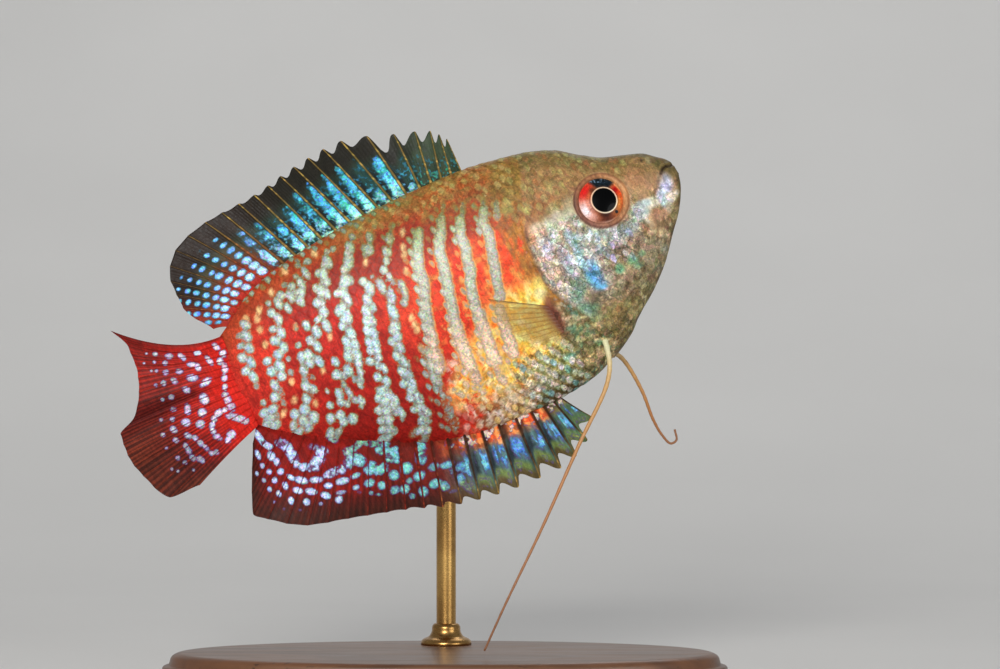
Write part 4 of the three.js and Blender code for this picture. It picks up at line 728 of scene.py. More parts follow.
def anal_ray_colour(u, v):
    c = col((60, 38, 22), (150, 118, 58), ease(0.55, 0.9, v))
    return mix(c, np.asarray((128, 34, 22.0)), ease(7, 11, u)[..., None])


TAIL_SPOTS = [  # x, z, half length, half width, lean in degrees
    (-188, 26, 4.0, 2.7, -62), (-184, 17, 3.8, 3.1, -82), (-190, 11, 3.4, 2.9, 68), (-188, 2, 3.8, 3.1, 68), (-192, -6, 3.6, 2.9, 68),
    (-195, -15, 3.4, 2.8, 68), (-208, 27, 3.4, 2.5, -22), (-200, 16, 5.2, 2.5, -72), (-218, 19, 4.0, 2.5, -22), (-213, 14, 3.8, 2.6, -82),
    (-222, 6, 5.4, 3.2, -22), (-211, -3, 6.0, 3.1, 13), (-219, -18, 5.2, 4.0, -92), (-226, -30, 4.0, 3.8, -22), (-232, -40, 3.8, 4.0, 68),
    (-236, 35, 2.9, 3.8, 68), (-225, 31, 2.7, 2.2, -72), (-223, 28, 2.9, 2.2, -82), (-232, 17, 3.6, 2.5, -22), (-240, 10, 3.6, 2.7, -62),
    (-232, -3, 4.0, 3.1, -52), (-238, -19, 3.6, 2.9, 68), (-239, -24, 2.9, 2.7, -22), (-245, -33, 3.4, 4.5, 68), (-248, -46, 4.0, 2.7, -42),
    (-242, -51, 3.6, 2.6, -62), (-239, -58, 3.8, 2.7, -67), (-236, -64, 3.8, 2.5, -67), (-233, -71, 3.1, 2.2, -62), (-228, -72, 2.9, 2.6, -22),
    (-245, -73, 4.5, 3.1, -57), (-254, -55, 3.4, 2.7, -72), (-253, -61, 3.8, 2.9, -77), (-252, -68, 3.6, 2.9, -72), (-248, 42, 2.5, 2.2, -22),
    (-242, 30, 2.7, 2.5, -22), (-245, 21, 2.7, 2.9, 68), (-251, 12, 2.9, 2.7, -22), (-249, -4, 2.7, 2.9, 68), (-252, -16, 2.7, 3.4, 68),
    (-256, -25, 2.2, 2.5, 68), (-259, -35, 3.8, 2.9, -62), (-261, -46, 3.1, 2.7, -22), (-266, -63, 2.5, 2.5, -22), (-261, -70, 2.5, 2.2, -22),
    (-271, -75, 2.0, 1.8, -22), (-276, -71, 1.8, 1.7, -22), (-256, 46, 1.3, 1.2, -22), (-262, 38, 1.3, 1.2, -22), (-252, 35, 1.8, 1.6, -22),
    (-258, 28, 1.6, 1.3, -22), (-253, 26, 1.8, 1.6, -22), (-259, 13, 2.0, 1.9, -22), (-258, -3, 2.0, 1.9, -22), (-267, -21, 2.0, 1.9, -22),
    (-271, -36, 2.5, 2.2, -22), (-273, -49, 1.9, 1.8, -22), (-256, -80, 1.8, 1.7, -22), (-207, -61, 4.5, 4.0, -52), (-212, -65, 3.4, 2.7, 38),
]
TAIL_STROKES = [(4.6, 0.80, [(-198, -23), (-196, -37)]), (4.2, 0.80, [(-203, -42), (-194, -49), (-188, -54)]), (3.4, 0.7, [(-187, 8), (-187, 4)])]
TAIL_ROWS = [  # gap, length and width of the dots, line
    (7, 4.6, 3.8, [(-204, -36), (-208, -35), (-217, -40), (-223, -47), (-223, -56), (-219, -61)]),
]


def tail_paint(u, v, x, z, s):
    X, Z = x / PX, z / PX
    t = u / (TAIL["rays"] - 1)
    ground = col((212, 38, 28), (172, 30, 23), ease(0.1, 0.45, v))
    ground = mix(ground, np.asarray((94, 22, 17.0)), (ease(0.38, 0.75, v) * ease(0.1, 0.45, t))[..., None])
    ground = mix(ground, np.asarray((132, 28, 22.0)), (ease(0.5, 0.9, v) * ease(0.35, 0.1, t))[..., None])
    ground = mix(ground, np.asarray((98, 42, 28.0)), (ease(0.50, 0.95, v) * ease(0.4, 0.7, t) * 0.85)[..., None])
    lines = 0.5 + 0.5 * np.sin(2 * np.pi * (3 * u + 0.6 * vnoise(u * 3, v * 3, 1.0, 51)))
    lines = 0.6 * lines + 0.4 * vnoise(u * 5, v * 2.2, 1.0, 53)
    ground = mix(ground, ground * 1.25 + np.asarray((16, 8, 4.0)), (ease(0.45, 0.9, lines) * ease(0.15, 0.5, v) * ease(0.22, 0.6, t + 0.3 * v))[..., None])
    ground = mix(ground, ground * 0.74, (ease(0.5, 0.1, lines) * ease(0.1, 0.4, v))[..., None])
    # painted shadow in the fold across the tail's middle: a darker band along it
    dark = bell(t, TAIL["fold_at"] - 0.03, 0.055) * ease(0.22, 0.45, v)
    ground = mix(ground, np.asarray((62, 12, 13.0)), (0.60 * dark)[..., None])
    ground = mix(ground, np.asarray((104, 26, 20.0)), (ease(0.045, 0.0, t) * 0.7)[..., None])
    pale = np.zeros(np.shape(u))
    for x0, z0, long, wide, lean in TAIL_SPOTS:
        near = (np.abs(X - x0) < 14) & (np.abs(Z - z0) < 14)
        pale[near] = np.maximum(pale[near], blob(X[near], Z[near], x0, z0, long * 1.15, wide * 1.15, lean, 0.62))
    for gap, along, across, line in TAIL_ROWS:
        pale = np.maximum(pale, dots(X, Z, line, gap, along, across, 90))
    pale = np.maximum(pale, bar_strength(X, Z, 0.2, TAIL_STROKES) * mix(0.6, 1.0, ease(0.35, 0.55, cloud(X, Z, 4.5, 59))))
    pale = pale * mix(1.0, 0.80, ease(0.45, 0.7, v)) * mix(1.0, 0.78, ease(-40, -66, Z) * ease(-214, -226, X))
    ground = ground * mix(1.0, 0.80, ease(-30, -66, Z) * ease(-206, -226, X))[..., None]
    # the same painted shadow in the fold dims the pale dots
    pale = pale * (1 - 0.35 * bell(t, TAIL["fold_at"], 0.06) * ease(0.3, 0.45, v))
    tint = col((228, 220, 240), (192, 192, 216), ease(0.15, 0.5, v))
    return ground, pale, tint


def tail_ray_colour(u, v):
    return col((196, 44, 32), (120, 44, 28), ease(0.2, 0.8, v))


# ---------------------------------------------------------------- meshes
def linear(c):
    c = np.clip(np.asarray(c, float) / 255.0, 0, 1)
    return np.where(c <= 0.04045, c / 12.92, ((c + 0.055) / 1.055) ** 2.4)


def make(name, points, faces, uv=None, colours=None, floats=None, vectors=None, material=None, smooth=True, local=True):
    """A mesh object from points (millimetres in the fish's frame, or in the model's if local is false) and lists of triangles and quads."""
    pts = placed(points) if local else np.asarray(points, float) * 0.001
    groups = [np.asarray(f, np.int64).reshape(-1, np.asarray(f).shape[-1]) for f in faces if len(f)]
    sizes = np.concatenate([np.full(len(g), g.shape[1]) for g in groups])
    loops = np.concatenate([g.ravel() for g in groups])
    starts = np.concatenate([[0], np.cumsum(sizes)[:-1]])
    me = bpy.data.meshes.new(name)
    me.vertices.add(len(pts))
    me.vertices.foreach_set("co", pts.astype(np.float32).ravel())
    me.loops.add(len(loops))
    me.loops.foreach_set("vertex_index", loops.astype(np.int32))
    me.polygons.add(len(sizes))
    me.polygons.foreach_set("loop_start", starts.astype(np.int32))
    me.polygons.foreach_set("use_smooth", np.full(len(sizes), smooth))
    me.update(calc_edges=True)
    if uv is not None:
        layer = me.uv_layers.new(name="OFBake")
        layer.data.foreach_set("uv", np.clip(np.asarray(uv, float)[loops], 0.0005, 0.9995).astype(np.float32).ravel())
    for key, value in (colours or {}).items():
        a = me.attributes.new(key, "FLOAT_COLOR", "POINT")
        rgba = np.ones((len(pts), 4), np.float32)
        rgba[:, :3] = linear(value).reshape(-1, 3)
        a.data.foreach_set("color", rgba.ravel())
    for key, value in (floats or {}).items():
        me.attributes.new(key, "FLOAT", "POINT").data.foreach_set("value", np.asarray(value, np.float32).ravel())
    for key, value in (vectors or {}).items():
        me.attributes.new(key, "FLOAT_VECTOR", "POINT").data.foreach_set("vector", np.asarray(value, np.float32).reshape(-1, 3).ravel())
    me.validate()
    ob = bpy.data.objects.new(name, me)
    bpy.context.scene.collection.objects.link(ob)
    if material is not None:
        me.materials.append(material)
    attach(ob, "root")
    return ob


def quads(rows, cols, wrap=False, start=0):
    """Faces of a grid of points laid out row by row."""
    i = np.arange(rows - 1)[:, None]
    j = np.arange(cols if wrap else cols - 1)[None, :]
    k = (j + 1) % cols
    a, b, c, d = i * cols + j, i * cols + k, (i + 1) * cols + k, (i + 1) * cols + j
    return np.stack([a, b, c, d], -1).reshape(-1, 4) + start


# ---------------------------------------------------------------- the form of the head, as moves along the skin's normal
EYE_R = 2.80
MOUTH_LINE = [(306, 23.5), (300, 23.5), (296, 24.5), (292, 23), (289, 20)]
MAXILLA = [(289, 20), (285, 14), (280, 8), (276, 4)]
JAW_FOLD = [(276, 4), (270, -12), (264, -34), (256, -58)]
PREOPERCLE = [(192, 6), (186, -14), (186, -40), (194, -60), (214, -72), (240, -74), (256, -62)]
CHEEK_FOLD = [(262, 4), (248, -9), (226, -13), (206, -6), (196, 6)]
FOLDS = [[(150, -84), (176, -96), (206, -98), (236, -84)], [(146, -98), (174, -110), (200, -112), (222, -104)]]


def groove(X, Z, line, wide, deep, lip=0.0):
    out = np.zeros(np.shape(X))
    near = (X > min(p[0] for p in line) - 5 * wide) & (X < max(p[0] for p in line) + 5 * wide)
    if near.any():
        d, w = to_line(X[near], Z[near], line)
        fade = np.sin(np.pi * np.clip(0.08 + 0.84 * w, 0, 1)) ** 0.5
        out[near] = (-deep * np.exp(-(d / wide) ** 2) + lip * np.exp(-((d - 2.1 * wide) / (1.1 * wide)) ** 2)) * fade
    return out


def relief(x, z):
    """How far the skin is moved out, in millimetres, at a place seen from the side."""
    x, z = np.broadcast_arrays(np.asarray(x, float), np.asarray(z, float))
    X, Z = x / PX, z / PX
    out = np.zeros(x.shape)
    r = np.hypot(x - EYE["x"], z - EYE["z"])
    out += 0.16 * bell(r, EYE_R + 0.28, 0.24) + 0.08 * ease(EYE_R + 1.6, EYE_R + 0.3, r)
    out += np.where(r < EYE_R + 0.05, -1.0 * ease(EYE_R + 0.04, EYE_R - 0.42, r), 0)
    out += groove(X, Z, MOUTH_LINE, 1.3, 0.28, 0.12) + groove(X, Z, MAXILLA, 1.4, 0.10, 0.05) + groove(X, Z, JAW_FOLD, 1.8, 0.06, 0.03)
    out += groove(X, Z, PREOPERCLE, 2.2, 0.07, 0.05) + groove(X, Z, CHEEK_FOLD, 1.8, 0.05, 0.03)
    for f in FOLDS:
        out += groove(X, Z, f, 2.0, 0.06, 0.03)
    for nx, nz, nr in ((276, 39, 1.7), (269, 36, 1.3)):
        d = np.hypot(X - nx, Z - nz)
        out += -0.30 * np.exp(-(d / nr) ** 2) + 0.07 * bell(d, nr * 1.9, nr * 0.7)
    # the gill cover's free edge stands over the flank
    gx = gill_x(z)
    k = (x - gx)
    tall = ease(-17.5, -15.0, z) * ease(4.4, 2.6, z)
    out += tall * np.where(k >= 0, 0.10 * np.exp(-np.maximum(k, 0) / 2.2), -0.16 * np.exp(np.minimum(k, 0) / 0.34))
    # the fleshy root of the breast fin
    out += 0.22 * blob(X, Z, 136, -76, 9, 20, 4, 0.8)
    return out * (1 - ease(35.9, 36.4, x) * 0.7)


def skin_point(x, phi):
    p, n = ring_point(x, phi), ring_normal(x, phi)
    return p + n * relief(p[..., 0], p[..., 2])[..., None]


def around(n):
    u = np.linspace(0, 1, n + 1)
    s = 0.35 * u + 0.65 * (0.5 - 0.5 * np.cos(np.pi * u))
    return np.arccos(1 - 2 * s)


def build_skin(material):
    half_n = 168
    right = around(half_n)
    phi = np.concatenate([right, (2 * np.pi - right[::-1])[1:-1]])
    xs = np.concatenate([np.arange(-23.6, 15.0, 0.42), np.arange(15.0, 33.0, 0.13), np.arange(33.0, 36.0, 0.085), np.linspace(36.0, 36.64, 13)])
    X, P = np.meshgrid(xs, phi, indexing="ij")
    pts = skin_point(X, P)
    rows, cols = X.shape
    girth = np.concatenate([np.linspace(0, 0.5, half_n + 1), np.linspace(0.5, 1.0, half_n + 1)[1:-1]])
    U = 0.004 + 0.992 * (X - xs[0]) / (xs[-1] - xs[0])
    V = np.broadcast_to(girth[None, :], X.shape)
    flat = pts.reshape(-1, 3)
    px, pz = flat[:, 0] / PX, flat[:, 2] / PX
    cx, cl, xr, lr = tiles(flat[:, 0], flat[:, 2])
    ground, mark, strip, _ = body_paint(*slid(flat[:, 0], flat[:, 1], flat[:, 2]))
    ground, strip = head_detail(px, pz, ground, strip)
    seam = np.arange(rows) * cols
    extra = flat[seam].copy()            # the seam's points again, so that the unwrap has a clean edge
    all_pts = np.concatenate([flat, extra, [[36.72, 0.0, 1.62]], [[-23.7, float(sway(-23.6)), -1.7]]])
    uv = np.concatenate([np.stack([U.ravel(), V.ravel()], -1), np.stack([U[:, 0], np.ones(rows)], -1), [[0.9995, 0.5]], [[0.0005, 0.5]]])
    base = rows * cols
    i = np.arange(rows - 1)
    inner = quads(rows, cols)
    last = np.stack([i * cols + cols - 1, base + i, base + i + 1, (i + 1) * cols + cols - 1], -1)
    ring = (rows - 1) * cols + np.arange(cols)
    nxt = np.append(ring[1:], base + rows - 1)
    tip = base + rows
    cap = np.stack([ring, nxt, np.full(cols, tip)], -1)
    ring0 = np.arange(cols)
    cap0 = np.stack([np.append(ring0[1:], base), ring0, np.full(cols, tip + 1)], -1)
    grow = lambda a: np.concatenate([a, a[seam], a[-1:], a[:1]])
    faces = [np.concatenate([inner, last]), np.concatenate([cap, cap0])]
    ob = make("skin", all_pts, faces, uv, {"ground": grow(ground), "mark": grow(mark)},
              {"bar": grow(strip), "silver": grow(silver(px, pz)), "orbit": grow(np.zeros(len(px)))}, None, material)
    return ob


def head_detail(X, Z, ground, strip):
    """Fine structure on the bare skin: orbit, lips, plate edges and fold lines, with painted shade in the mouth slit,
    the grooves and a nostril.
    """
    r = np.hypot(X - EYE["x"] / PX, Z - EYE["z"] / PX)
    ring = ease(20.5, 22.5, r) * ease(29.0, 27.4, r)
    turn = np.degrees(np.arctan2(Z - EYE["z"] / PX, X - EYE["x"] / PX)) + 22      # counted from the right, as seen from the side
    side = lambda at, wide: np.exp(-((((turn - at + 180) % 360) - 180) / wide) ** 2)
    flesh = mix(col((146, 98, 66), (196, 138, 88), side(10, 70)), np.asarray((122, 74, 66.0)), (0.9 * side(250, 55))[..., None])
    flesh = mix(flesh, np.asarray((112, 66, 52.0)), (0.6 * side(190, 30))[..., None])
    flesh = flesh * (0.86 + 0.28 * vnoise(X, Z, 2.2, 97))[..., None]
    ground = mix(ground, flesh, (0.95 * ring)[..., None])
    ground = mix(ground, np.asarray((70, 38, 32.0)), (0.75 * bell(r, 27.2, 0.9) * (0.25 + 0.75 * side(230, 70)))[..., None])
    ground = mix(ground, np.asarray((214, 190, 150.0)), (0.70 * bell(r, 28.9, 0.8) * side(225, 38))[..., None])
    ground = mix(ground, np.asarray((236, 190, 140.0)), (0.60 * bell(r, 24.0, 0.9) * np.maximum(side(40, 40), 0.6 * side(270, 30)))[..., None])
    ground = mix(ground, np.asarray((206, 168, 110.0)), (0.45 * bell(r, 28.6, 0.9) * side(110, 50))[..., None])
    # painted shade: the mouth slit and the grooves of the upper jaw, jaw fold, gill plate edge and cheek are darkened
    # along their lines
    for line, wide, power, tint in ((MOUTH_LINE, 1.3, 0.75, (50, 38, 30)), (MAXILLA, 1.3, 0.35, (96, 72, 52)), (JAW_FOLD, 1.3, 0.3, (110, 88, 66)),
                                    (PREOPERCLE, 1.4, 0.35, (110, 92, 74)), (CHEEK_FOLD, 1.2, 0.35, (120, 96, 80))):
        d, w = to_line(X, Z, line)
        ground = mix(ground, np.asarray(tint, float), (power * np.exp(-(d / wide) ** 2))[..., None])
    # painted shade in the pit of the front nostril
    d = np.hypot(X - 276, Z - 39)
    ground = mix(ground, np.asarray((58, 44, 30.0)), (0.8 * np.exp(-(d / 1.6) ** 2))[..., None])
    net = np.minimum.reduce([np.abs(np.mod(Z - (X - 200) * k + 40 + o, 15) - 7.5) for k, o in ((0.62, 0), (0.40, 6))])
    throat = ease(-70, -84, Z - (X - 200) * 0.5) * ease(136, 150, X)
    ground = mix(ground, np.asarray((172, 158, 122.0)), (0.35 * throat * ease(1.6, 0.4, net))[..., None])
    return ground, strip


# ---------------------------------------------------------------- scales
def surface_table():
    xs = np.arange(-23.4, 34.01, 0.2)
    phi = around(360)
    X, P = np.meshgrid(xs, phi, indexing="ij")
    pts = skin_point(X, P)
    step = np.linalg.norm(np.diff(pts[..., 1:], axis=1), axis=-1)
    arc = np.concatenate([np.zeros((len(xs), 1)), np.cumsum(step, 1)], 1)
    ls = np.arange(-30, 26.01, 0.12)
    out = np.empty((len(xs), len(ls), 3))
    lo, hi = np.empty(len(xs)), np.empty(len(xs))
    for i in range(len(xs)):
        mid = np.interp(-2.0, pts[i, :, 2], arc[i]) if pts[i, 0, 2] < -2 < pts[i, -1, 2] else arc[i, -1] * 0.5
        l = arc[i] - mid
        lo[i], hi[i] = l[0], l[-1]
        for k in range(3):
            out[i, :, k] = np.interp(ls, l, pts[i, :, k])
    nrm = np.cross(np.gradient(out, axis=0), np.gradient(out, axis=1))
    size = np.linalg.norm(nrm, axis=-1, keepdims=True)
    nrm = nrm / np.maximum(size, 1e-9)
    # past the ridge the table stands still, so the last good normal is carried on
    for i in range(len(xs)):
        good = np.where((ls > lo[i] + 0.1) & (ls < hi[i] - 0.1))[0]
        nrm[i, :good[0]] = nrm[i, good[0]]
        nrm[i, good[-1] + 1:] = nrm[i, good[-1]]
    flip = np.sign(np.sum(nrm[..., 1:2] * -1.0, axis=(0, 1)))
    return dict(xs=xs, ls=ls, p=out, n=nrm * (flip if flip != 0 else 1), lo=lo, hi=hi)


def look_up(t, key, x, l):
    fx = np.clip((x - t["xs"][0]) / (t["xs"][1] - t["xs"][0]), 0, len(t["xs"]) - 1.001)
    fl = np.clip((l - t["ls"][0]) / (t["ls"][1] - t["ls"][0]), 0, len(t["ls"]) - 1.001)
    i, j = np.floor(fx).astype(int), np.floor(fl).astype(int)
    a, b = (fx - i)[..., None], (fl - j)[..., None]
    g = t[key]
    return (g[i, j] * (1 - a) + g[i + 1, j] * a) * (1 - b) + (g[i, j + 1] * (1 - a) + g[i + 1, j + 1] * a) * b


def scale_wanted(x, z):
    X, Z = x / PX, z / PX
    r = np.hypot(x - EYE["x"], z - EYE["z"])
    bare = (x > 31.3) | (r < EYE_R + 1.25) | ((X > 236) & (Z < 34) & (Z > -14)) | (Z < -26 - (X - 262) * 1.2) & (X > 244) | ((X > 150) & (Z < -84 + (X - 200) * 0.55))
    return ~bare & (x > -22.6)


def build_coat(name, side, table, material, seed):
    PXS, PLS = PITCH_X, PITCH_L
    rows = np.arange(-34, 34)
    found = []
    for r in rows:
        off = 0.5 * (r % 2)
        c = np.arange(-20, 26)
        cx = (c + off) * PXS + LEAN * r * PLS
        cl = np.full(cx.shape, r * PLS)
        lo, hi = np.interp(cx, table["xs"], table["lo"]), np.interp(cx, table["xs"], table["hi"])
        ok = (cx > -22.8) & (cx < 33) & (cl > lo + 0.05) & (cl < hi - 0.05)
        p = look_up(table, "p", cx, cl)
        ok &= scale_wanted(cx, p[:, 2])
        for k in np.where(ok)[0]:
            found.append((cx[k], cl[k], r, c[k]))
    found = np.array(sorted(found))
    n = len(found)
    cx, cl, ri, ci = found.T
    NA, NB = 9, 7
    a = np.linspace(-1, 1, NA)
    a = np.sign(a) * np.abs(a) ** 0.85
    b = np.array([0, 0.22, 0.44, 0.64, 0.80, 0.93, 1.0])
    A, B = np.meshgrid(a, b, indexing="ij")
    head = ease(-0.4, 0.6, (cx - gill_x(np.clip(look_up(table, "p", cx, cl)[:, 2], -18, 12))))
    j1, j2 = _hash(ri, ci, seed), _hash(ri, ci, seed + 3)
    wide = 1.0 + 0.04 * (j1 - 0.5)
    margin = (-0.62 + 0.5 * A ** 2) * PXS
    root = (0.72 - 0.16 * A ** 2) * PXS
    xr = mix(root, margin, B)
    zr = A * PLS * 1.07 * (1 - 0.05 * B)
    Xq = cx[:, None, None] + xr[None] * wide[:, None, None]
    Lq = cl[:, None, None] + zr[None] * wide[:, None, None]
    lift = mix(0.060, 0.035, head)
    shape = -0.055 + (lift[:, None, None] + 0.055) * B[None] ** 1.15 + 0.012 * (1 - A[None] ** 2)
    edge = np.maximum(np.abs(A) > 0.98, B > 0.99)[None]
    H = np.where(edge, shape - 0.028, shape) + 0.012 * (j2[:, None, None] - 0.5)
    P = look_up(table, "p", Xq, Lq)
    N = look_up(table, "n", Xq, Lq)
    pts = P + N * H[..., None]
    centre = P[:, NA // 2, 3] + N[:, NA // 2, 3] * (-0.07)
    M = NA * NB
    if side > 0:
        for q in (pts, centre, P):
            q[..., 1] = 2 * sway(q[..., 0]) - q[..., 1]
    allp = np.concatenate([pts.reshape(n, M, 3), centre[:, None]], 1)
    g = quads(NA, NB)
    rim = [i * NB for i in range(NA)] + [(NA - 1) * NB + j for j in range(1, NB)] + [i * NB + NB - 1 for i in range(NA - 2, -1, -1)] + [j for j in range(NB - 2, 0, -1)]
    rim = np.array(rim)
    fan = np.stack([np.roll(rim, -1), rim, np.full(len(rim), M)], -1)
    # which way round the top faces, from the first scale
    e1, e2 = allp[0, g[0, 1]] - allp[0, g[0, 0]], allp[0, g[0, 3]] - allp[0, g[0, 0]]
    up = N[0, 0, 0].copy()
    if side > 0:
        up[1] = -up[1]
    if np.dot(np.cross(e1, e2), up) < 0:
        g = g[:, ::-1]
        fan = fan[:, ::-1]
    f1, f2 = fan[0, 0], fan[0, 1]
    if np.dot(np.cross(allp[0, f2] - allp[0, f1], allp[0, M] - allp[0, f1]), up) > 0:
        fan = fan[:, ::-1]
    shift = (np.arange(n) * (M + 1))[:, None, None]
    G = (g[None] + shift).reshape(-1, 4)
    F = (fan[None] + shift).reshape(-1, 3)
    flatx, flatz = P[..., 0].reshape(n, M), P[..., 2].reshape(n, M)
    cz = look_up(table, "p", cx, cl)[:, 2]
    CX = np.repeat(cx[:, None], M, 1) / PX
    CZ = np.repeat(cz[:, None], M, 1) / PX
    ground, mark, strip, spot = body_paint(*slid(flatx.ravel(), P[..., 1].ravel(), flatz.ravel()), CX.ravel(), CZ.ravel())
    ground, strip = head_detail((flatx / PX).ravel(), (flatz / PX).ravel(), ground, strip)
    tone = _hash(np.repeat(ri, M), np.repeat(ci, M), seed + 11)
    ground = tile_tint(CX.ravel(), CZ.ravel(), ground, tone)
    sil = silver((flatx / PX).ravel(), (flatz / PX).ravel())
    dab, dab_k = dabs(CX.ravel(), CZ.ravel(), tone, _hash(np.repeat(ri, M), np.repeat(ci, M), seed + 29))
    fuse = np.maximum(0.80 * ease(-24, 44, CX.ravel()), ease(6, -4, CX.ravel() + 18 * ease(-44, -56, CZ.ravel())))
    tile = np.stack([np.broadcast_to(xr[None], (n, NA, NB)).reshape(n, M), np.broadcast_to(zr[None], (n, NA, NB)).reshape(n, M), fuse.reshape(n, M)], -1)
    k1, k2, k3, k4 = (_hash(ri, ci, seed + q)[:, None] for q in (41, 43, 47, 53))
    big = 0.90 + 0.30 * k3
    spot = spot.reshape(n, M) * (0.86 + 0.22 * k4)
    grain = np.stack([(tile[..., 0] + 0.30 + 0.23 * tile[..., 1] + 0.16 * (k1 - 0.5)) / (0.42 * big), (tile[..., 1] + 0.16 * (k2 - 0.5)) / (0.76 * big), spot], -1)
    def grow(q):
        q = q.reshape(n, M, -1)
        return np.concatenate([q, q[:, M // 2:M // 2 + 1]], 1).reshape(n * (M + 1), -1)
    # each scale has its own patch of the map at its root's place on the unwrap of the skin: along the body, and round it
    cells_u, cells_l = (33.0 + 24.0), 40.0
    ru, rv = (cx + 24.0) / cells_u, (cl + 21.0) / cells_l
    du, dv = 0.47 * PXS / cells_u, 0.47 * PLS / cells_l
    patch_u = (xr / PXS) / 0.70 * 0.5
    patch_v = (zr / PLS) / 1.07
    U = ru[:, None, None] + du * np.clip(patch_u[None] * 2 - 0.05, -1, 1)
    V = rv[:, None, None] + dv * np.clip(patch_v[None], -1, 1)
    uv = np.stack([U.reshape(n, M), V.reshape(n, M)], -1)
    uv = np.concatenate([uv, np.stack([ru, rv], -1)[:, None]], 1).reshape(-1, 2)
    ob = make(name, allp.reshape(-1, 3), [G, F], uv, {"ground": grow(ground), "mark": grow(mark), "dab": grow(dab), "rim": grow(fringe(CX.ravel(), CZ.ravel()))},
              {"bar": grow(strip), "silver": grow(sil), "head": grow(np.repeat(head[:, None], M, 1)), "dabs": grow(dab_k)}, {"tile": grow(tile), "grain": grow(grain)}, material)
    return ob, n


def fringe(X, Z):
    """Colour of the soft edge between the pale bars and the ground."""
    c = col((206, 120, 78), (150, 104, 56), ease(-150, -90, X))
    c = mix(c, np.asarray((234, 178, 96.0)), (ease(-6, 34, X) * ease(60, 20, Z))[..., None])
    c = mix(c, np.asarray((140, 122, 58.0)), ease(34, 60, Z)[..., None])
    return mix(c, np.asarray((150, 90, 50.0)), (ease(-84, -110, Z) * ease(30, 0, X))[..., None])


def dabs(CX, CZ, tone, tone2):
    """A soft dab of colour in the middle of some scales: its colour and strength."""
    n = CX.shape
    colour = np.broadcast_to(np.asarray((168, 164, 98.0)), n + (3,)).copy()
    k = np.zeros(n)
    nape = ease(92, 120, CX) * ease(14, 36, CZ + 0.35 * (CX - 150))
    green = ease(0.52, 0.72, tone)
    colour = mix(colour, np.asarray((178, 96, 52.0)), (nape * ease(0.34, 0.24, tone))[..., None])
    k = np.maximum(k, nape * np.maximum(green * 0.48, ease(0.30, 0.18, tone) * 0.28))
    olive = ease(68, 82, CZ) * ease(-40, 0, CX) * ease(130, 110, CX)
    k = np.maximum(k, olive * ease(0.45, 0.7, tone) * 0.45)
    chest = np.maximum(ease(62, 92, CX) * ease(-92, -104, CZ), ease(34, 54, CX) * ease(-128, -138, CZ)) * ease(150, 138, CX + 0.4 * (CZ + 100))
    tint = mix(np.broadcast_to(np.asarray((236, 234, 218.0)), n + (3,)), np.asarray((132, 190, 184.0)), ease(0.55, 0.75, tone2)[..., None])
    colour = mix(colour, tint, chest[..., None])
    k = np.maximum(k, chest * mix(0.35, 1.0, tone))
    low = ease(-100, -112, CZ) * ease(-4, 14, CX) * ease(94, 74, CX)
    tint = mix(np.broadcast_to(np.asarray((232, 212, 194.0)), n + (3,)), np.asarray((214, 64, 34.0)), ease(0.55, 0.7, tone2)[..., None])
    tint = mix(tint, mix(np.broadcast_to(np.asarray((242, 206, 130.0)), n + (3,)), np.asarray((120, 86, 56.0)), ease(0.45, 0.6, tone2)[..., None]), ease(22, 44, CX)[..., None])
    colour = mix(colour, tint, low[..., None])
    k = np.maximum(k, low * mix(0.1, 0.5, tone))
    gold = ease(-44, -70, CZ) * ease(-104, -92, CZ) * ease(58, 80, CX) * ease(132, 118, CX)
    tint = mix(np.broadcast_to(np.asarray((248, 206, 110.0)), n + (3,)), np.asarray((236, 226, 206.0)), ease(0.5, 0.7, tone2 + 0.4 * ease(-80, -100, CZ))[..., None])
    colour = mix(colour, tint, gold[..., None])
    k = np.maximum(k, gold * mix(0.1, 0.5, tone))
    amber = ease(104, 112, CX) * ease(132, 126, CX) * ease(36, 20, CZ) * ease(-60, -44, CZ)
    colour = mix(colour, mix(np.broadcast_to(np.asarray((236, 84, 40.0)), n + (3,)), np.asarray((206, 170, 84.0)), ease(0.45, 0.6, tone2)[..., None]), amber[..., None])
    k = np.maximum(k, amber * mix(0.0, 0.4, tone))
    cheek = ease(138, 150, CX) * ease(16, 4, CZ) * ease(-62, -52, CZ - (CX - 200) * 0.12)
    for x, z, rx, rz in ((184, -50, 12, 20), (208, -53, 8, 8), (222, -50, 8, 8), (182, -36, 8, 10)):
        cheek = cheek * (1 - 0.85 * blob(CX, CZ, x, z, rx, rz, 0, 0.3))
    tint = mix(np.broadcast_to(np.asarray((228, 224, 214.0)), n + (3,)), np.asarray((178, 182, 214.0)), ease(0.16, 0.20, tone2)[..., None])
    tint = mix(tint, np.asarray((126, 168, 172.0)), ease(0.42, 0.46, tone2)[..., None])
    tint = mix(tint, np.asarray((118, 98, 78.0)), ease(0.62, 0.66, tone2)[..., None])
    tint = mix(tint, np.asarray((226, 190, 160.0)), ease(0.82, 0.86, tone2)[..., None])
    colour = mix(colour, tint, cheek[..., None])
    k = np.maximum(k, cheek * mix(0.15, 0.75, tone))
    return colour, k


def tile_tint(CX, CZ, ground, tone):
    """Small differences from scale to scale."""
    return ground * (1 + 0.07 * (tone - 0.5))[..., None]


# ---------------------------------------------------------------- fins
STEPS = np.array([0, 0.022, 0.048, 0.08, 0.13, 0.20, 0.28, 0.36, 0.44, 0.52, 0.60, 0.68, 0.76, 0.84, 0.90, 0.94, 0.966, 0.985])


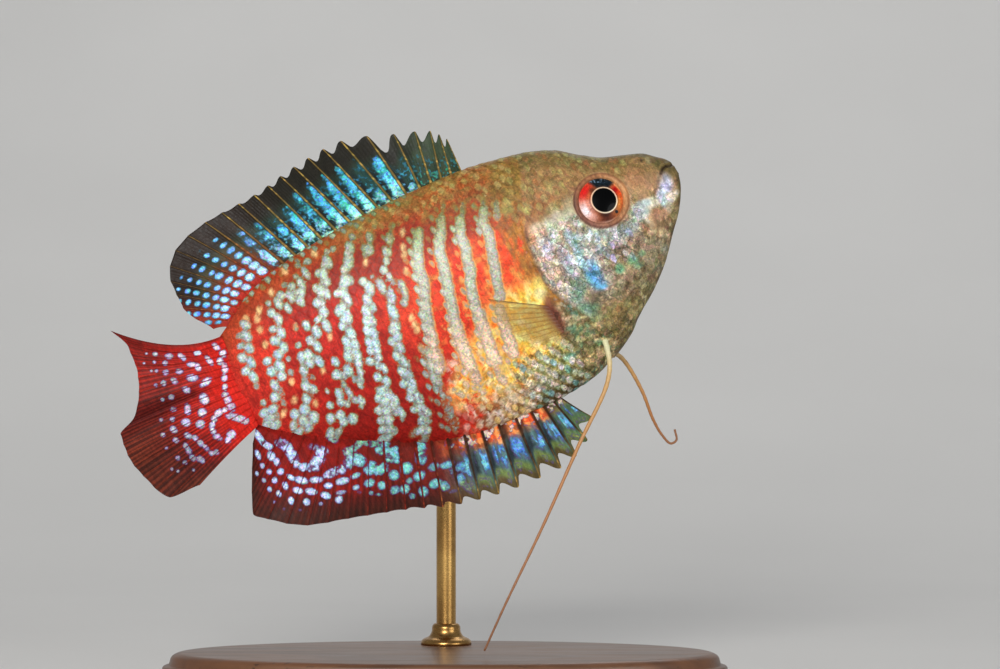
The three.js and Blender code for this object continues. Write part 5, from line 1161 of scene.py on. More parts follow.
def build_fin(name, point, paint, ray_colour, rays, rows, spiny, material, seed, base_thick=0.0, base_run=0.1, web=0.055):
    u = np.concatenate([(i + STEPS) for i in range(rays)] + [[rays]])
    v = np.linspace(0, 1, rows) ** 1.02
    U, V = np.meshgrid(u, v, indexing="ij")
    x, y, z, s = point(U, V)
    xe, ye, ze, _ = point(np.clip(U + 0.01, 0, rays), V)
    xf, yf, zf, _ = point(np.clip(U - 0.01, 0, rays), V)
    span = np.maximum(np.hypot(xe - xf, ze - zf) / 0.02, 0.25)
    d = np.abs(U - np.round(U)) * np.minimum(span, 2.4)
    spine = spiny(U)
    r = mix(mix(0.105, 0.045, V), mix(0.20, 0.075, V), spine)
    rod = np.sqrt(np.clip(1 - (d / r) ** 2, 0, 1)) * r
    # soft rays fork: a second, finer ridge on either side of the ray's middle in the outer half
    fork = ease(0.35, 0.75, V) * (1 - spine)
    d2 = np.abs(d - 0.16 * span * np.minimum(V, 1) * 0.9)
    rod2 = 0.035 * np.exp(-(d2 / 0.05) ** 2) * fork
    fine = 0.010 * np.cos(2 * np.pi * 5 * U) * (1 - spine)
    thick = web * mix(1.25, 0.7, V) + rod * 0.85 + rod2 + fine + base_thick * ease(base_run, 0, V)
    edge = ease(1.0, 0.975, V)
    thick = thick * mix(0.35, 1, edge)
    # the webs sag a little between their rays
    sag = 0.06 * np.sin(np.pi * (U - np.floor(U))) * np.sin(np.pi * V) * np.where(np.mod(np.floor(U), 2) > 0, 1, -1)
    y = y + sag
    ground, blue, tint = paint(U, V, x, z, s)
    ray = 1 - ease(r * 0.55, r * 1.25, d)
    glint = _hash(np.round(U), np.round(V * 26), seed)
    rc = ray_colour(U, V) * (0.8 + 0.45 * ease(0.6, 0.95, glint))[..., None]
    strength = mix(0.5, 0.9, spine) * ray
    ground = mix(ground, rc, strength[..., None])
    blue = blue * (1 - mix(0.45, 0.95, spine) * ray)
    R = np.stack([x, y - thick, z], -1).reshape(-1, 3)
    L = np.stack([x, y + thick, z], -1).reshape(-1, 3)
    nu, nv = U.shape
    f = quads(nu, nv)
    n = nu * nv
    p0, p1, p3 = R[f[0, 0]], R[f[0, 1]], R[f[0, 3]]
    if np.cross(p1 - p0, p3 - p0)[1] > 0:
        right, left = f[:, ::-1], f + n
    else:
        right, left = f, f[:, ::-1] + n
    i = np.arange(nu - 1)
    j = np.arange(nv - 1)
    last = nv - 1
    strips = [np.stack([i * nv + last, i * nv + last + n, (i + 1) * nv + last + n, (i + 1) * nv + last], -1),
              np.stack([i * nv, (i + 1) * nv, (i + 1) * nv + n, i * nv + n], -1),
              np.stack([j, j + n, j + 1 + n, j + 1], -1),
              np.stack([(nu - 1) * nv + j, (nu - 1) * nv + j + 1, (nu - 1) * nv + j + 1 + n, (nu - 1) * nv + j + n], -1)]
    if np.cross(p1 - p0, p3 - p0)[1] <= 0:
        strips = [q[:, ::-1] for q in strips]
    lo, hi = np.array([x.min(), z.min()]), np.array([x.max(), z.max()])
    w = (np.stack([x, z], -1).reshape(-1, 2) - lo) / (hi - lo)
    tall = (hi - lo)[1] > (hi - lo)[0]
    if tall:
        uv = np.concatenate([np.stack([0.006 + 0.488 * w[:, 0], w[:, 1]], -1), np.stack([0.506 + 0.488 * w[:, 0], w[:, 1]], -1)])
    else:
        uv = np.concatenate([np.stack([w[:, 0], 0.006 + 0.488 * w[:, 1]], -1), np.stack([w[:, 0], 0.506 + 0.488 * w[:, 1]], -1)])
    two = lambda a: np.concatenate([a.reshape(n, -1), a.reshape(n, -1)])
    return make(name, np.concatenate([R, L]), [np.concatenate([right, left] + strips)], uv, {"ground": two(ground), "mark": two(tint)},
                {"bar": two(blue), "silver": two(0.15 + 0.5 * blue), "ray": two(ray), "along": two(U)}, None, material)


def pectoral_point(side, u, v):
    t = u / (PECTORAL["rays"] - 1)
    bx, bz = mix(PECTORAL["root_top"][0], PECTORAL["root_bottom"][0], t), mix(PECTORAL["root_top"][1], PECTORAL["root_bottom"][1], t)
    r = 1.1 * np.sin(np.pi * t)
    tx, tz = mix(PECTORAL["tip_top"][0], PECTORAL["tip_bottom"][0], t) - r, mix(PECTORAL["tip_top"][1], PECTORAL["tip_bottom"][1], t) - 0.3 * r
    fr = u - np.floor(u)
    q = v * (1 - 0.03 * np.sin(np.pi * fr))
    x, z = mix(bx - 0.1, tx, q), mix(bz, tz, q)
    root = flank_y(bx, bz) + 0.10
    y = root + 0.20 + (bx - x) * math.tan(math.radians(PECTORAL["out"])) * (0.75 + 0.25 * q) - 0.35 * np.exp(-q / 0.10) + 0.10 * np.sin(3 * math.pi * t) * q
    return x, side * y, z


def build_pectoral(name, side, material):
    rays = PECTORAL["rays"] - 1
    u = np.concatenate([(i + STEPS[::2]) for i in range(rays)] + [[rays]])
    v = np.linspace(0, 1, 40)
    U, V = np.meshgrid(u, v, indexing="ij")
    x, y, z = pectoral_point(side, U, V)
    xe, _, ze = pectoral_point(side, np.clip(U + 0.01, 0, rays), V)
    span = np.maximum(np.hypot(xe - x, ze - z) / 0.01, 0.15)
    d = np.abs(U - np.round(U)) * span
    r = mix(0.075, 0.03, V)
    rod = np.sqrt(np.clip(1 - (d / r) ** 2, 0, 1)) * r
    thick = 0.035 + rod + 0.25 * ease(0.10, 0.0, V)
    thick = thick * mix(0.4, 1, ease(1.0, 0.96, V))
    R = np.stack([x, y - thick, z], -1).reshape(-1, 3)
    L = np.stack([x, y + thick, z], -1).reshape(-1, 3)
    nu, nv = U.shape
    n = nu * nv
    f = quads(nu, nv)
    p0, p1, p3 = R[f[0, 0]], R[f[0, 1]], R[f[0, 3]]
    wrong = np.cross(p1 - p0, p3 - p0)[1] > 0
    i, j, last = np.arange(nu - 1), np.arange(nv - 1), nv - 1
    strips = np.concatenate([np.stack([i * nv + last, i * nv + last + n, (i + 1) * nv + last + n, (i + 1) * nv + last], -1),
                             np.stack([i * nv, (i + 1) * nv, (i + 1) * nv + n, i * nv + n], -1),
                             np.stack([j, j + n, j + 1 + n, j + 1], -1),
                             np.stack([(nu - 1) * nv + j, (nu - 1) * nv + j + 1, (nu - 1) * nv + j + 1 + n, (nu - 1) * nv + j + n], -1)])
    faces = [np.concatenate([f[:, ::-1], f + n, strips] if wrong else [f, f[:, ::-1] + n, strips[:, ::-1]])]
    ray = 1 - ease(r * 0.6, r * 1.5, d)
    top = bell(U, 0.0, 0.25)
    ground = np.broadcast_to(np.asarray((196, 160, 88.0)), U.shape + (3,)).copy()
    ground = mix(ground, np.asarray((150, 110, 52.0)), (0.6 * ray)[..., None])
    ground = mix(ground, np.asarray((92, 66, 36.0)), (0.75 * top)[..., None])
    ground = mix(ground, np.asarray((112, 62, 42.0)), (ease(0.20, 0.02, V))[..., None])
    solid = np.clip((0.34 + 0.35 * ray + 0.4 * top) * mix(1.0, 0.55, ease(0.55, 1.0, V)) + 0.6 * ease(0.25, 0.03, V), 0, 1)
    lo, hi = np.array([x.min(), z.min()]), np.array([x.max(), z.max()])
    w = (np.stack([x, z], -1).reshape(-1, 2) - lo) / (hi - lo)
    uv = np.concatenate([np.stack([0.006 + 0.488 * w[:, 0], w[:, 1]], -1), np.stack([0.506 + 0.488 * w[:, 0], w[:, 1]], -1)])
    two = lambda a: np.concatenate([a.reshape(n, -1), a.reshape(n, -1)])
    return make(name, np.concatenate([R, L]), faces, uv, {"ground": two(ground)}, {"solid": two(solid), "ray": two(ray)}, None, material)


# ---------------------------------------------------------------- eyes
def build_eye(name, side, material):
    p = skin_base(side, EYE["x"], EYE["z"])
    n = skin_normal(side, EYE["x"], EYE["z"])
    n = n / np.linalg.norm(n)
    wide, deep = 3.35, 1.62
    centre = p + n * (0.34 - deep)
    ahead = np.array([1.0, 0, 0]) - n * n[0]
    ahead /= np.linalg.norm(ahead)
    up = np.cross(ahead, n) * (1 if np.cross(ahead, n)[2] > 0 else -1)
    nr, na = 84, 192
    rr = np.concatenate([[0.0], np.linspace(0.03, 3.0, nr - 4), [3.12, 3.24, 3.32]])
    th = np.arange(na) / na * 2 * np.pi
    Rg, T = np.meshgrid(rr, th, indexing="ij")
    off = np.hypot(Rg * np.cos(T) - 0.30, Rg * np.sin(T) + 0.09)
    dish = -0.05 * ease(1.58, 1.44, off) - 0.035 * bell(off, 2.1, 0.35)  # the pupil sits a touch behind the iris
    h = deep * np.sqrt(np.clip(1 - (Rg / wide) ** 2, 0, 1)) + dish * 0.4
    pts = centre + Rg[..., None] * (np.cos(T)[..., None] * ahead + np.sin(T)[..., None] * up) + h[..., None] * n
    rear = centre + (rr[-1] * 0.98) * (np.cos(th)[:, None] * ahead + np.sin(th)[:, None] * up) - 0.45 * n
    rear2 = centre + 1.6 * (np.cos(th)[:, None] * ahead + np.sin(th)[:, None] * up) - 0.62 * n
    allp = np.concatenate([pts.reshape(-1, 3), rear, rear2, [centre - 0.66 * n]])
    rows = len(rr)
    f = quads(rows + 2, na, wrap=True)
    end = np.stack([(rows + 1) * na + (np.arange(na) + 1) % na, (rows + 1) * na + np.arange(na), np.full(na, (rows + 2) * na)], -1)
    a, b, c = allp[f[5000, 0]], allp[f[5000, 1]], allp[f[5000, 3]]
    if np.dot(np.cross(b - a, c - a), n) < 0:
        f = f[:, ::-1]
    else:
        end = end[:, ::-1]
    # the pupil stands a little ahead of the middle of the iris
    ex, ez = Rg * np.cos(T) - 0.30, Rg * np.sin(T) + 0.09
    rp, pr = np.hypot(ex, ez) / PX, Rg / PX
    turn = (np.degrees(np.arctan2(ez, ex)) + 22) % 360        # counted from the right, as seen from the side
    near = lambda at, wide_: np.exp(-((((turn - at + 180) % 360) - 180) / wide_) ** 2)
    out = np.clip((rp - 13.2) / np.maximum(rp - 13.2 + 23.4 - pr, 0.5), 0, 1)         # 0 at the pupil, 1 at the rim
    streak = vnoise(T * 26, pr * 0.5, 1.0, 3) * 0.6 + vnoise(T * 60, pr * 0.8, 1.0, 5) * 0.4
    grains = vnoise(ex / PX, ez / PX, 1.1, 7)
    colour = np.broadcast_to(np.asarray((186, 96, 54.0)), Rg.shape + (3,)).copy()
    for at, w_, tint, k, from_, to_ in (
            (158, 30, (214, 34, 30), 1.0, 0.15, 0.5), (176, 22, (206, 88, 54), 0.8, 0.6, 0.1), (140, 14, (74, 34, 20), 0.8, 0.6, 0.2), (196, 14, (214, 116, 86), 0.8, -1, 0),
            (218, 24, (190, 128, 110), 1.0, -1, 0), (216, 26, (248, 234, 240), 1.0, 0.30, 0.55), (240, 14, (232, 170, 152), 0.8, 0.1, 0.5),
            (282, 30, (84, 42, 32), 1.0, -1, 0), (274, 20, (36, 18, 16), 0.8, 0.5, 0.1), (290, 34, (196, 160, 142), 0.75, 0.66, 0.86), (322, 18, (150, 88, 46), 0.8, -1, 0),
            (352, 26, (240, 158, 74), 1.0, 0.8, 0.1), (12, 20, (214, 104, 44), 0.7, 0.2, 0.8), (30, 14, (226, 76, 34), 0.9, -1, 0), (46, 12, (176, 16, 20), 1.0, 0.85, 0.5),
            (50, 14, (250, 176, 112), 0.85, 0.72, 0.92)):
        colour = mix(colour, np.asarray(tint, float), (k * near(at, w_) * ease(from_, to_, out))[..., None])
    colour = colour * (0.74 + 0.34 * streak + 0.18 * grains)[..., None]
    d = np.hypot(ex / PX - 16.8 * math.cos(math.radians(-62)), ez / PX - 16.8 * math.sin(math.radians(-62)))
    colour = mix(colour, np.asarray((20, 12, 12.0)), (1 - ease(1.2, 2.2, d))[..., None])
    black = ease(0.30, 0.62, near(96, 36) * mix(0.75, 1.1, out))
    glint = ease(0.55, 0.80, vnoise(ex / PX, ez / PX, 1.3, 9)) * near(112, 26) * ease(0.35, 0.7, out)
    colour = mix(colour, mix(col((12, 18, 20), (26, 40, 52), grains), np.asarray((150, 184, 214.0)), (0.75 * glint)[..., None]), black[..., None])
    rim = bell(pr, 22.9, 0.8) * (1 - 0.75 * black)
    colour = mix(colour, np.asarray((206, 150, 116.0)), (0.45 * rim)[..., None])
    colour = mix(colour, np.asarray((96, 52, 40.0)), ease(23.4, 24.4, pr)[..., None])
    ring = ease(12.1, 12.5, rp) * ease(14.0, 13.3, rp)
    colour = mix(colour, col((240, 206, 172), (250, 240, 214), near(320, 80)), (ring * (0.80 + 0.2 * streak))[..., None])
    colour = mix(colour, np.asarray((92, 50, 34.0)), (0.45 * bell(rp, 14.4, 0.7))[..., None])
    colour = mix(colour, np.asarray((1, 1, 1.5)), ease(12.6, 12.1, rp)[..., None])
    pad = lambda a: np.concatenate([a.reshape(rows * na, -1), np.repeat(a.reshape(rows * na, -1)[-1:], 2 * na + 1, 0)])
    R2 = np.concatenate([Rg.ravel() / 3.5 * 0.36, np.full(na, 0.375), np.full(na, 0.40), [0.0]])
    T2 = np.concatenate([T.ravel(), th, th, [0.0]])
    uv = np.stack([0.5 + 1.2 * R2 * np.cos(T2), 0.5 + 1.2 * R2 * np.sin(T2)], -1)
    uv[-1] = (0.02, 0.02)
    pupil = ease(12.8, 12.2, rp)
    return make(name, allp, [f, end], uv, {"ground": pad(colour)}, {"pupil": pad(pupil)}, None, material)


def skin_base(side, x, z):
    y = flank_y(x, z)
    return np.array([x, side * float(y), z])


def skin_normal(side, x, z):
    e = 0.9
    gx = (float(flank_y(x + e, z)) - float(flank_y(x - e, z))) / (2 * e)
    gz = (float(flank_y(x, z + e)) - float(flank_y(x, z - e))) / (2 * e)
    return np.array([-gx, side * 1.0, -gz])


# ---------------------------------------------------------------- feelers and stand
def spline(points, steps, power=0.5):
    """A smooth line through points, with knots spaced so that it makes no loops."""
    p = np.asarray(points, float)
    p = np.concatenate([[2 * p[0] - p[1]], p, [2 * p[-1] - p[-2]]])
    t = np.concatenate([[0], np.cumsum(np.linalg.norm(np.diff(p, axis=0), axis=1) ** power)])
    out = []
    for q in np.linspace(t[1], t[-2], steps):
        i = min(max(np.searchsorted(t, q, side="right") - 1, 1), len(p) - 3)
        t0, t1, t2, t3 = t[i - 1:i + 3]
        a1 = (t1 - q) / (t1 - t0) * p[i - 1] + (q - t0) / (t1 - t0) * p[i]
        a2 = (t2 - q) / (t2 - t1) * p[i] + (q - t1) / (t2 - t1) * p[i + 1]
        a3 = (t3 - q) / (t3 - t2) * p[i + 1] + (q - t2) / (t3 - t2) * p[i + 2]
        b1 = (t2 - q) / (t2 - t0) * a1 + (q - t0) / (t2 - t0) * a2
        b2 = (t3 - q) / (t3 - t1) * a2 + (q - t1) / (t3 - t1) * a3
        out.append((t2 - q) / (t2 - t1) * b1 + (q - t1) / (t2 - t1) * b2)
    return np.array(out)


def tube(points, radii, sides):
    p = np.asarray(points, float)
    tan = np.gradient(p, axis=0)
    tan /= np.linalg.norm(tan, axis=1, keepdims=True)
    frames = []
    side = np.cross(tan[0], [0.13, 0.97, 0.2])
    for t in tan:
        side = side - t * np.dot(side, t)
        side /= np.linalg.norm(side)
        frames.append((side, np.cross(t, side)))
    th = np.arange(sides) / sides * 2 * np.pi
    ring = np.array([c + r * (np.cos(th)[:, None] * a + np.sin(th)[:, None] * b) for c, r, (a, b) in zip(p, radii, frames)])
    pts = np.concatenate([ring.reshape(-1, 3), p[:1], p[-1:]])
    n = len(p) * sides
    j, k = np.arange(sides), (np.arange(sides) + 1) % sides
    f = quads(len(p), sides, wrap=True)
    c0 = np.stack([k, j, np.full(sides, n)], -1)
    c1 = np.stack([n - sides + j, n - sides + k, np.full(sides, n + 1)], -1)
    along = np.concatenate([np.repeat(np.linspace(0, 1, len(p)), sides), [0, 1]])
    uv = np.stack([along, np.concatenate([np.tile(np.arange(sides) / sides * 0.98, len(p)), [0.5, 0.5]])], -1)
    return pts, [f, np.concatenate([c0, c1])], along, uv


def build_feeler(name, line, material):
    c = spline(line, 120)
    t = np.linspace(0, 1, len(c))
    knots = 1 + 0.05 * np.sin(t * 160) * (t > 0.05)
    r = (0.13 + 0.22 * (1 - t) ** 1.5 + 0.05 * np.exp(-t / 0.05)) * knots
    pts, faces, along, uv = tube(c, r, 14)
    colour = col((224, 220, 176), (196, 152, 92), ease(0.06, 0.30, along))
    colour = mix(colour, col((172, 114, 64), (138, 90, 56), ease(0.45, 1.0, along)), ease(0.22, 0.6, along)[..., None])
    return make(name, pts, faces, uv, {"ground": colour}, {"along": along}, None, material)


def lathe(profile, sides, squash=1.0):
    th = np.arange(sides) / sides * 2 * np.pi
    ring = np.array([[[r * math.cos(a), r * math.sin(a) * squash, h] for a in th] for r, h in profile])
    return ring.reshape(-1, 3), quads(len(profile), sides, wrap=True)


def rounded(corners, steps=6):
    """A profile with its corners rounded: corners are (radius, height, rounding)."""
    out = []
    for i, (r, h, k) in enumerate(corners):
        if k <= 0 or i in (0, len(corners) - 1):
            out.append((r, h))
            continue
        a = np.array(corners[i - 1][:2]) - (r, h)
        b = np.array(corners[i + 1][:2]) - (r, h)
        a, b = a / np.linalg.norm(a), b / np.linalg.norm(b)
        for t in np.linspace(0, 1, steps):
            q = np.array((r, h)) + a * k * (1 - t) ** 2 + b * k * t ** 2
            out.append(tuple(q))
    return out


def build_base(material):
    R, h = BASE["length"] / 2, BASE["height"]
    corners = [(0.01, 0.0, 0), (R - 1.0, 0.0, 0.3), (R - 0.25, 0.35, 0.25), (R - 0.05, 1.0, 0.3), (R - 0.1, 2.35, 0.3), (R - 0.85, 2.55, 0.12), (R - 0.95, 2.8, 0.12),
               (R - 1.15, 3.55, 0.35), (R - 2.0, h, 0.5), (R * 0.6, h, 0), (R * 0.3, h, 0), (0.01, h, 0)]
    prof = rounded(corners)
    pts, f = lathe(prof, 192, BASE["depth"] / BASE["length"])
    n = len(pts)
    pts = np.concatenate([pts, [[0, 0, 0], [0, 0, h]]])
    j, k = np.arange(192), (np.arange(192) + 1) % 192
    caps = np.concatenate([np.stack([k, j, np.full(192, n)], -1), np.stack([n - 192 + j, n - 192 + k, np.full(192, n + 1)], -1)])
    return make("stand_foot", pts, [f, caps], None, None, None, None, material, local=False)


def build_rod(material, flare):
    c, s = math.cos(PITCH), math.sin(PITCH)
    X = ROD["x"] * c - ROD["z"] * s + FISH_AT[0]
    top = ROD["x"] * s + ROD["z"] * c + FISH_AT[2]
    B = 3.2
    line = [(X, ROD["y"], 1.3)] + [(X, ROD["y"], h) for h in np.linspace(2.0, top - B, 24)]
    line += [(X, ROD["y"] - B + B * math.cos(a), top - B + B * math.sin(a)) for a in np.linspace(0, math.pi / 2, 15)[1:]]
    line += [(X, y, top) for y in np.linspace(ROD["y"] - B, 1.8, 12)[1:]]
    pts, faces, along, uv = tube(line, [ROD["r"]] * len(line), 40)
    a = make("stand_arm", pts, faces, None, None, None, None, material, local=False)
    # a turned collar at the foot, and a button against the flank
    prof = rounded([(ROD["r"] - 0.02, 4.0, 0), (3.1, 4.0, 0), (3.1, 4.45, 0.2), (2.75, 4.75, 0.15), (2.1, 5.0, 0.3), (1.75, 5.6, 0.3), (1.75, 6.3, 0.25), (1.45, 6.6, 0.15), (ROD["r"] - 0.02, 6.65, 0)])
    p, f = lathe(prof, 72)
    p = p + np.array([X, ROD["y"], 0])
    b = make("stand_collar", p, [f], None, None, None, None, flare, local=False)
    at, thick, r = ROD["flange_at"] - 0.03, ROD["flange_thick"], ROD["flange"]
    prof = rounded([(0.4, 0, 0), (r - 0.15, 0, 0.1), (r, 0.2, 0.2), (r, thick * 0.55, 0.25), (r * 0.68, thick * 0.85, 0.3), (ROD["r"] + 0.15, thick, 0.1), (ROD["r"] - 0.02, thick + 0.15, 0)])
    p, f = lathe(prof, 72)
    p = np.stack([X + p[:, 0], at + p[:, 2], top - p[:, 1]], -1)
    d = make("stand_button", p, [f], None, None, None, None, flare, local=False)
    return a, b, d


# ---------------------------------------------------------------- materials
class Nodes:
    def __init__(self, name):
        self.mat = bpy.data.materials.new(name)
        self.mat.use_nodes = True
        self.tree = self.mat.node_tree
        self.shader = self.tree.nodes["Principled BSDF"]
        self.out = self.tree.nodes["Material Output"]

    def link(self, a, b):
        self.tree.links.new(a, b)

    def set(self, node, key, value):
        if hasattr(value, "links") or hasattr(value, "is_linked"):
            self.link(value, node.inputs[key])
        else:
            node.inputs[key].default_value = value

    def attr(self, name, kind="Fac"):
        n = self.tree.nodes.new("ShaderNodeAttribute")
        n.attribute_name = name
        return n.outputs[kind]

    def coord(self):
        n = self.tree.nodes.new("ShaderNodeTexCoord")
        return n.outputs["Object"]

    def math(self, op, a, b=0.0, c=0.0, clamp=False):
        n = self.tree.nodes.new("ShaderNodeMath")
        n.operation, n.use_clamp = op, clamp
        for i, q in enumerate((a, b, c)):
            self.set(n, i, q)
        return n.outputs[0]

    def ramp(self, value, lo, hi, a=0.0, b=1.0, smooth=True):
        n = self.tree.nodes.new("ShaderNodeMapRange")
        n.interpolation_type = "SMOOTHSTEP" if smooth else "LINEAR"
        n.clamp = True
        for key, q in (("Value", value), ("From Min", lo), ("From Max", hi), ("To Min", a), ("To Max", b)):
            self.set(n, key, q)
        return n.outputs[0]

    def noise(self, size_mm, detail=2.0, rough=0.5, coord=None, distortion=0.0):
        n = self.tree.nodes.new("ShaderNodeTexNoise")
        self.link(coord or self.coord(), n.inputs["Vector"])
        n.inputs["Scale"].default_value = 1000.0 / size_mm
        n.inputs["Detail"].default_value = detail
        n.inputs["Roughness"].default_value = rough
        n.inputs["Distortion"].default_value = distortion
        return n.outputs[0]

    def cells(self, size_mm, kind="Color", random=1.0, coord=None, feature="F1"):
        n = self.tree.nodes.new("ShaderNodeTexVoronoi")
        n.feature = feature
        self.link(coord or self.coord(), n.inputs["Vector"])
        n.inputs["Scale"].default_value = 1000.0 / size_mm
        n.inputs["Randomness"].default_value = random
        return n.outputs[kind]

    def mix(self, a, b, t, mode="MIX"):
        n = self.tree.nodes.new("ShaderNodeMix")
        n.data_type, n.blend_type = "RGBA", mode
        n.clamp_factor = True
        self.set(n, 0, t)
        self.set(n, 6, a)
        self.set(n, 7, b)
        return n.outputs[2]

    def gain(self, colour, factor):
        n = self.tree.nodes.new("ShaderNodeVectorMath")
        n.operation = "SCALE"
        self.link(colour, n.inputs[0])
        self.set(n, "Scale", factor)
        return n.outputs[0]

    def split(self, vector):
        n = self.tree.nodes.new("ShaderNodeSeparateXYZ")
        self.link(vector, n.inputs[0])
        return n.outputs

    def slanted(self, degrees, squeeze):
        """Places drawn out along a slant seen from the side."""
        c, q = math.cos(math.radians(degrees)), math.sin(math.radians(degrees))
        v = self.coord()
        parts = []
        for axis in ((c, 0.0, q), (-q, 0.0, c)):
            n = self.tree.nodes.new("ShaderNodeVectorMath")
            n.operation = "DOT_PRODUCT"
            self.link(v, n.inputs[0])
            n.inputs[1].default_value = axis
            parts.append(n.outputs["Value"])
        n = self.tree.nodes.new("ShaderNodeCombineXYZ")
        self.link(self.math("MULTIPLY", parts[0], squeeze), n.inputs[0])
        self.link(self.split(v)[1], n.inputs[1])
        self.link(parts[1], n.inputs[2])
        return n.outputs[0]

    def warped(self, size_mm, by_mm):
        """Places shifted by a soft noise."""
        t = self.tree.nodes.new("ShaderNodeTexNoise")
        v = self.coord()
        self.link(v, t.inputs["Vector"])
        t.inputs["Scale"].default_value = 1000.0 / size_mm
        t.inputs["Detail"].default_value = 1.0
        n = self.tree.nodes.new("ShaderNodeVectorMath")
        n.operation = "MULTIPLY_ADD"
        self.link(t.outputs[1], n.inputs[0])
        n.inputs[1].default_value = (by_mm * 0.001,) * 3
        self.link(v, n.inputs[2])
        return n.outputs[0]

    def bump(self, height, deep_mm, strength=1.0, onto=None):
        n = self.tree.nodes.new("ShaderNodeBump")
        n.inputs["Strength"].default_value = strength
        n.inputs["Distance"].default_value = deep_mm * 0.001
        self.link(height, n.inputs["Height"])
        if onto is not None:
            self.link(onto, n.inputs["Normal"])
        return n.outputs[0]


def rgb(c):
    return (*[float(q) for q in linear(c)], 1.0)


def scale(value):
    return value


def fish_material(name, fringe, has_tile=False, has_ray=False, rough=0.50, bar_rough=0.40, grain=0.20, sparkle=0.25, shine=0.20, bright=1.12):
    m = Nodes(name)
    ground, mark = m.attr("ground", "Color"), m.attr("mark", "Color")
    bar, sil = m.attr("bar"), m.attr("silver")
    fine = m.noise(0.30, 2.0, 0.6)
    mid = m.noise(1.05, 3.0, 0.55)
    broad = m.noise(2.6, 2.0, 0.5)
    streak = m.noise(0.32, 2.0, 0.6, m.slanted(-62, 0.16))
    wobble = m.math("MULTIPLY", m.math("SUBTRACT", fine, 0.5), 0.55)
    wobble = m.math("ADD", wobble, m.math("MULTIPLY", m.math("SUBTRACT", mid, 0.5), 0.40))
    strip, core = bar, None
    if has_tile:
        tile = m.split(m.attr("tile", "Vector"))
        spot = m.split(m.attr("grain", "Vector"))
        e = m.math("SQRT", m.math("ADD", m.math("MULTIPLY", spot[0], spot[0]), m.math("MULTIPLY", spot[1], spot[1])))
        core = m.ramp(m.math("ADD", e, m.math("MULTIPLY", m.math("SUBTRACT", fine, 0.5), 0.7)), 1.45, 0.25)
        fuse = tile[2]
        parted = m.math("ADD", 0.62, m.math("MULTIPLY", core, 0.50))
        keep = m.math("ADD", parted, m.math("MULTIPLY", m.math("SUBTRACT", 1.0, parted), fuse))
        strip = m.math("MULTIPLY", bar, keep)
        strip = m.math("MAXIMUM", strip, m.math("MULTIPLY", m.math("MULTIPLY", core, spot[2]), 0.92))
    value = m.math("ADD", strip, m.math("MULTIPLY", wobble, m.ramp(strip, 0.02, 0.3)))
    outer = m.ramp(value, 0.22, 0.44)
    inner = m.ramp(value, 0.40, 0.62)
    peak = m.ramp(value, 0.60, 1.02)
    # fine bright grains, of slightly different hues
    fleck = m.cells(grain, "Color")
    cell = m.split(fleck)[0]
    patch = m.cells(grain * 4.2, "Color", coord=m.warped(0.9, 0.55))
    cell2 = m.split(m.cells(grain * 2.2, "Color"))[1]
    amount = m.math("ADD", 0.12, m.math("MULTIPLY", sil, 0.50))
    grit = m.math("ADD", m.math("SUBTRACT", cell, 0.5), m.math("MULTIPLY", m.math("SUBTRACT", cell2, 0.5), 0.8))
    light = m.math("ADD", 1.0, m.math("MULTIPLY", grit, amount))
    soft = m.math("ADD", 0.78, m.math("ADD", m.math("MULTIPLY", mid, 0.26), m.math("MULTIPLY", broad, 0.18)))
    soft = m.math("MULTIPLY", soft, m.ramp(streak, 0.30, 0.70, 0.82, 1.18))
    # a fine dark network on the head and throat
    net = m.cells(0.62, "Distance", coord=m.warped(1.3, 0.9), feature="DISTANCE_TO_EDGE")
    soft = m.math("MULTIPLY", soft, m.math("SUBTRACT", 1.0, m.math("MULTIPLY", m.ramp(net, 0.16, 0.0), m.ramp(sil, 0.45, 0.85, 0.0, 0.32))))
    soft = m.math("MULTIPLY", soft, m.math("ADD", 1.0, m.math("MULTIPLY", m.math("SUBTRACT", m.ramp(mid, 0.30, 0.70), 0.5), m.ramp(sil, 0.45, 0.85, 0.0, 0.55))))
    soft = m.math("MULTIPLY", soft, m.math("ADD", 1.0, m.math("MULTIPLY", m.math("SUBTRACT", m.split(patch)[2], 0.5), m.math("MULTIPLY", sil, 0.62))))
    if has_tile:
        worn = m.math("ADD", m.math("MULTIPLY", core, 0.75), m.math("MULTIPLY", wobble, 1.7))
        dab = m.math("MULTIPLY", m.math("MULTIPLY", m.attr("dabs"), m.ramp(worn, 0.18, 0.72)), 0.9)
        ground = m.mix(ground, m.attr("dab", "Color"), dab)
    hue = m.mix((0.5, 0.5, 0.5, 1.0), fleck, m.math("MULTIPLY", sil, 0.12))
    ground = m.gain(m.mix(ground, hue, 1.0, "MULTIPLY"), 2.0)
    hue = m.mix((0.5, 0.5, 0.5, 1.0), patch, m.math("MULTIPLY", sil, 0.14))
    ground = m.gain(m.mix(ground, hue, 1.0, "MULTIPLY"), 2.0)
    ground = m.gain(ground, m.math("MULTIPLY", light, soft))
    edge = m.mix(ground, m.attr("rim", "Color") if has_tile else rgb(fringe), 0.62)
    mark_light = m.math("ADD", 0.66, m.math("ADD", m.math("MULTIPLY", cell, 0.34), m.math("MULTIPLY", fine, 0.34)))
    mark_light = m.math("MULTIPLY", mark_light, m.ramp(streak, 0.30, 0.70, 0.92, 1.08))
    tinted = m.mix(mark, m.gain(m.mix(mark, fleck, 1.0, "MULTIPLY"), 2.0), sparkle)
    dim = m.gain(tinted, m.math("MULTIPLY", mark_light, 0.58))
    lit = m.gain(tinted, m.math("MULTIPLY", mark_light, bright))
    colour = m.mix(ground, edge, outer)
    colour = m.mix(colour, m.mix(dim, edge, 0.16), inner)
    colour = m.mix(colour, lit, peak)
    if has_tile:
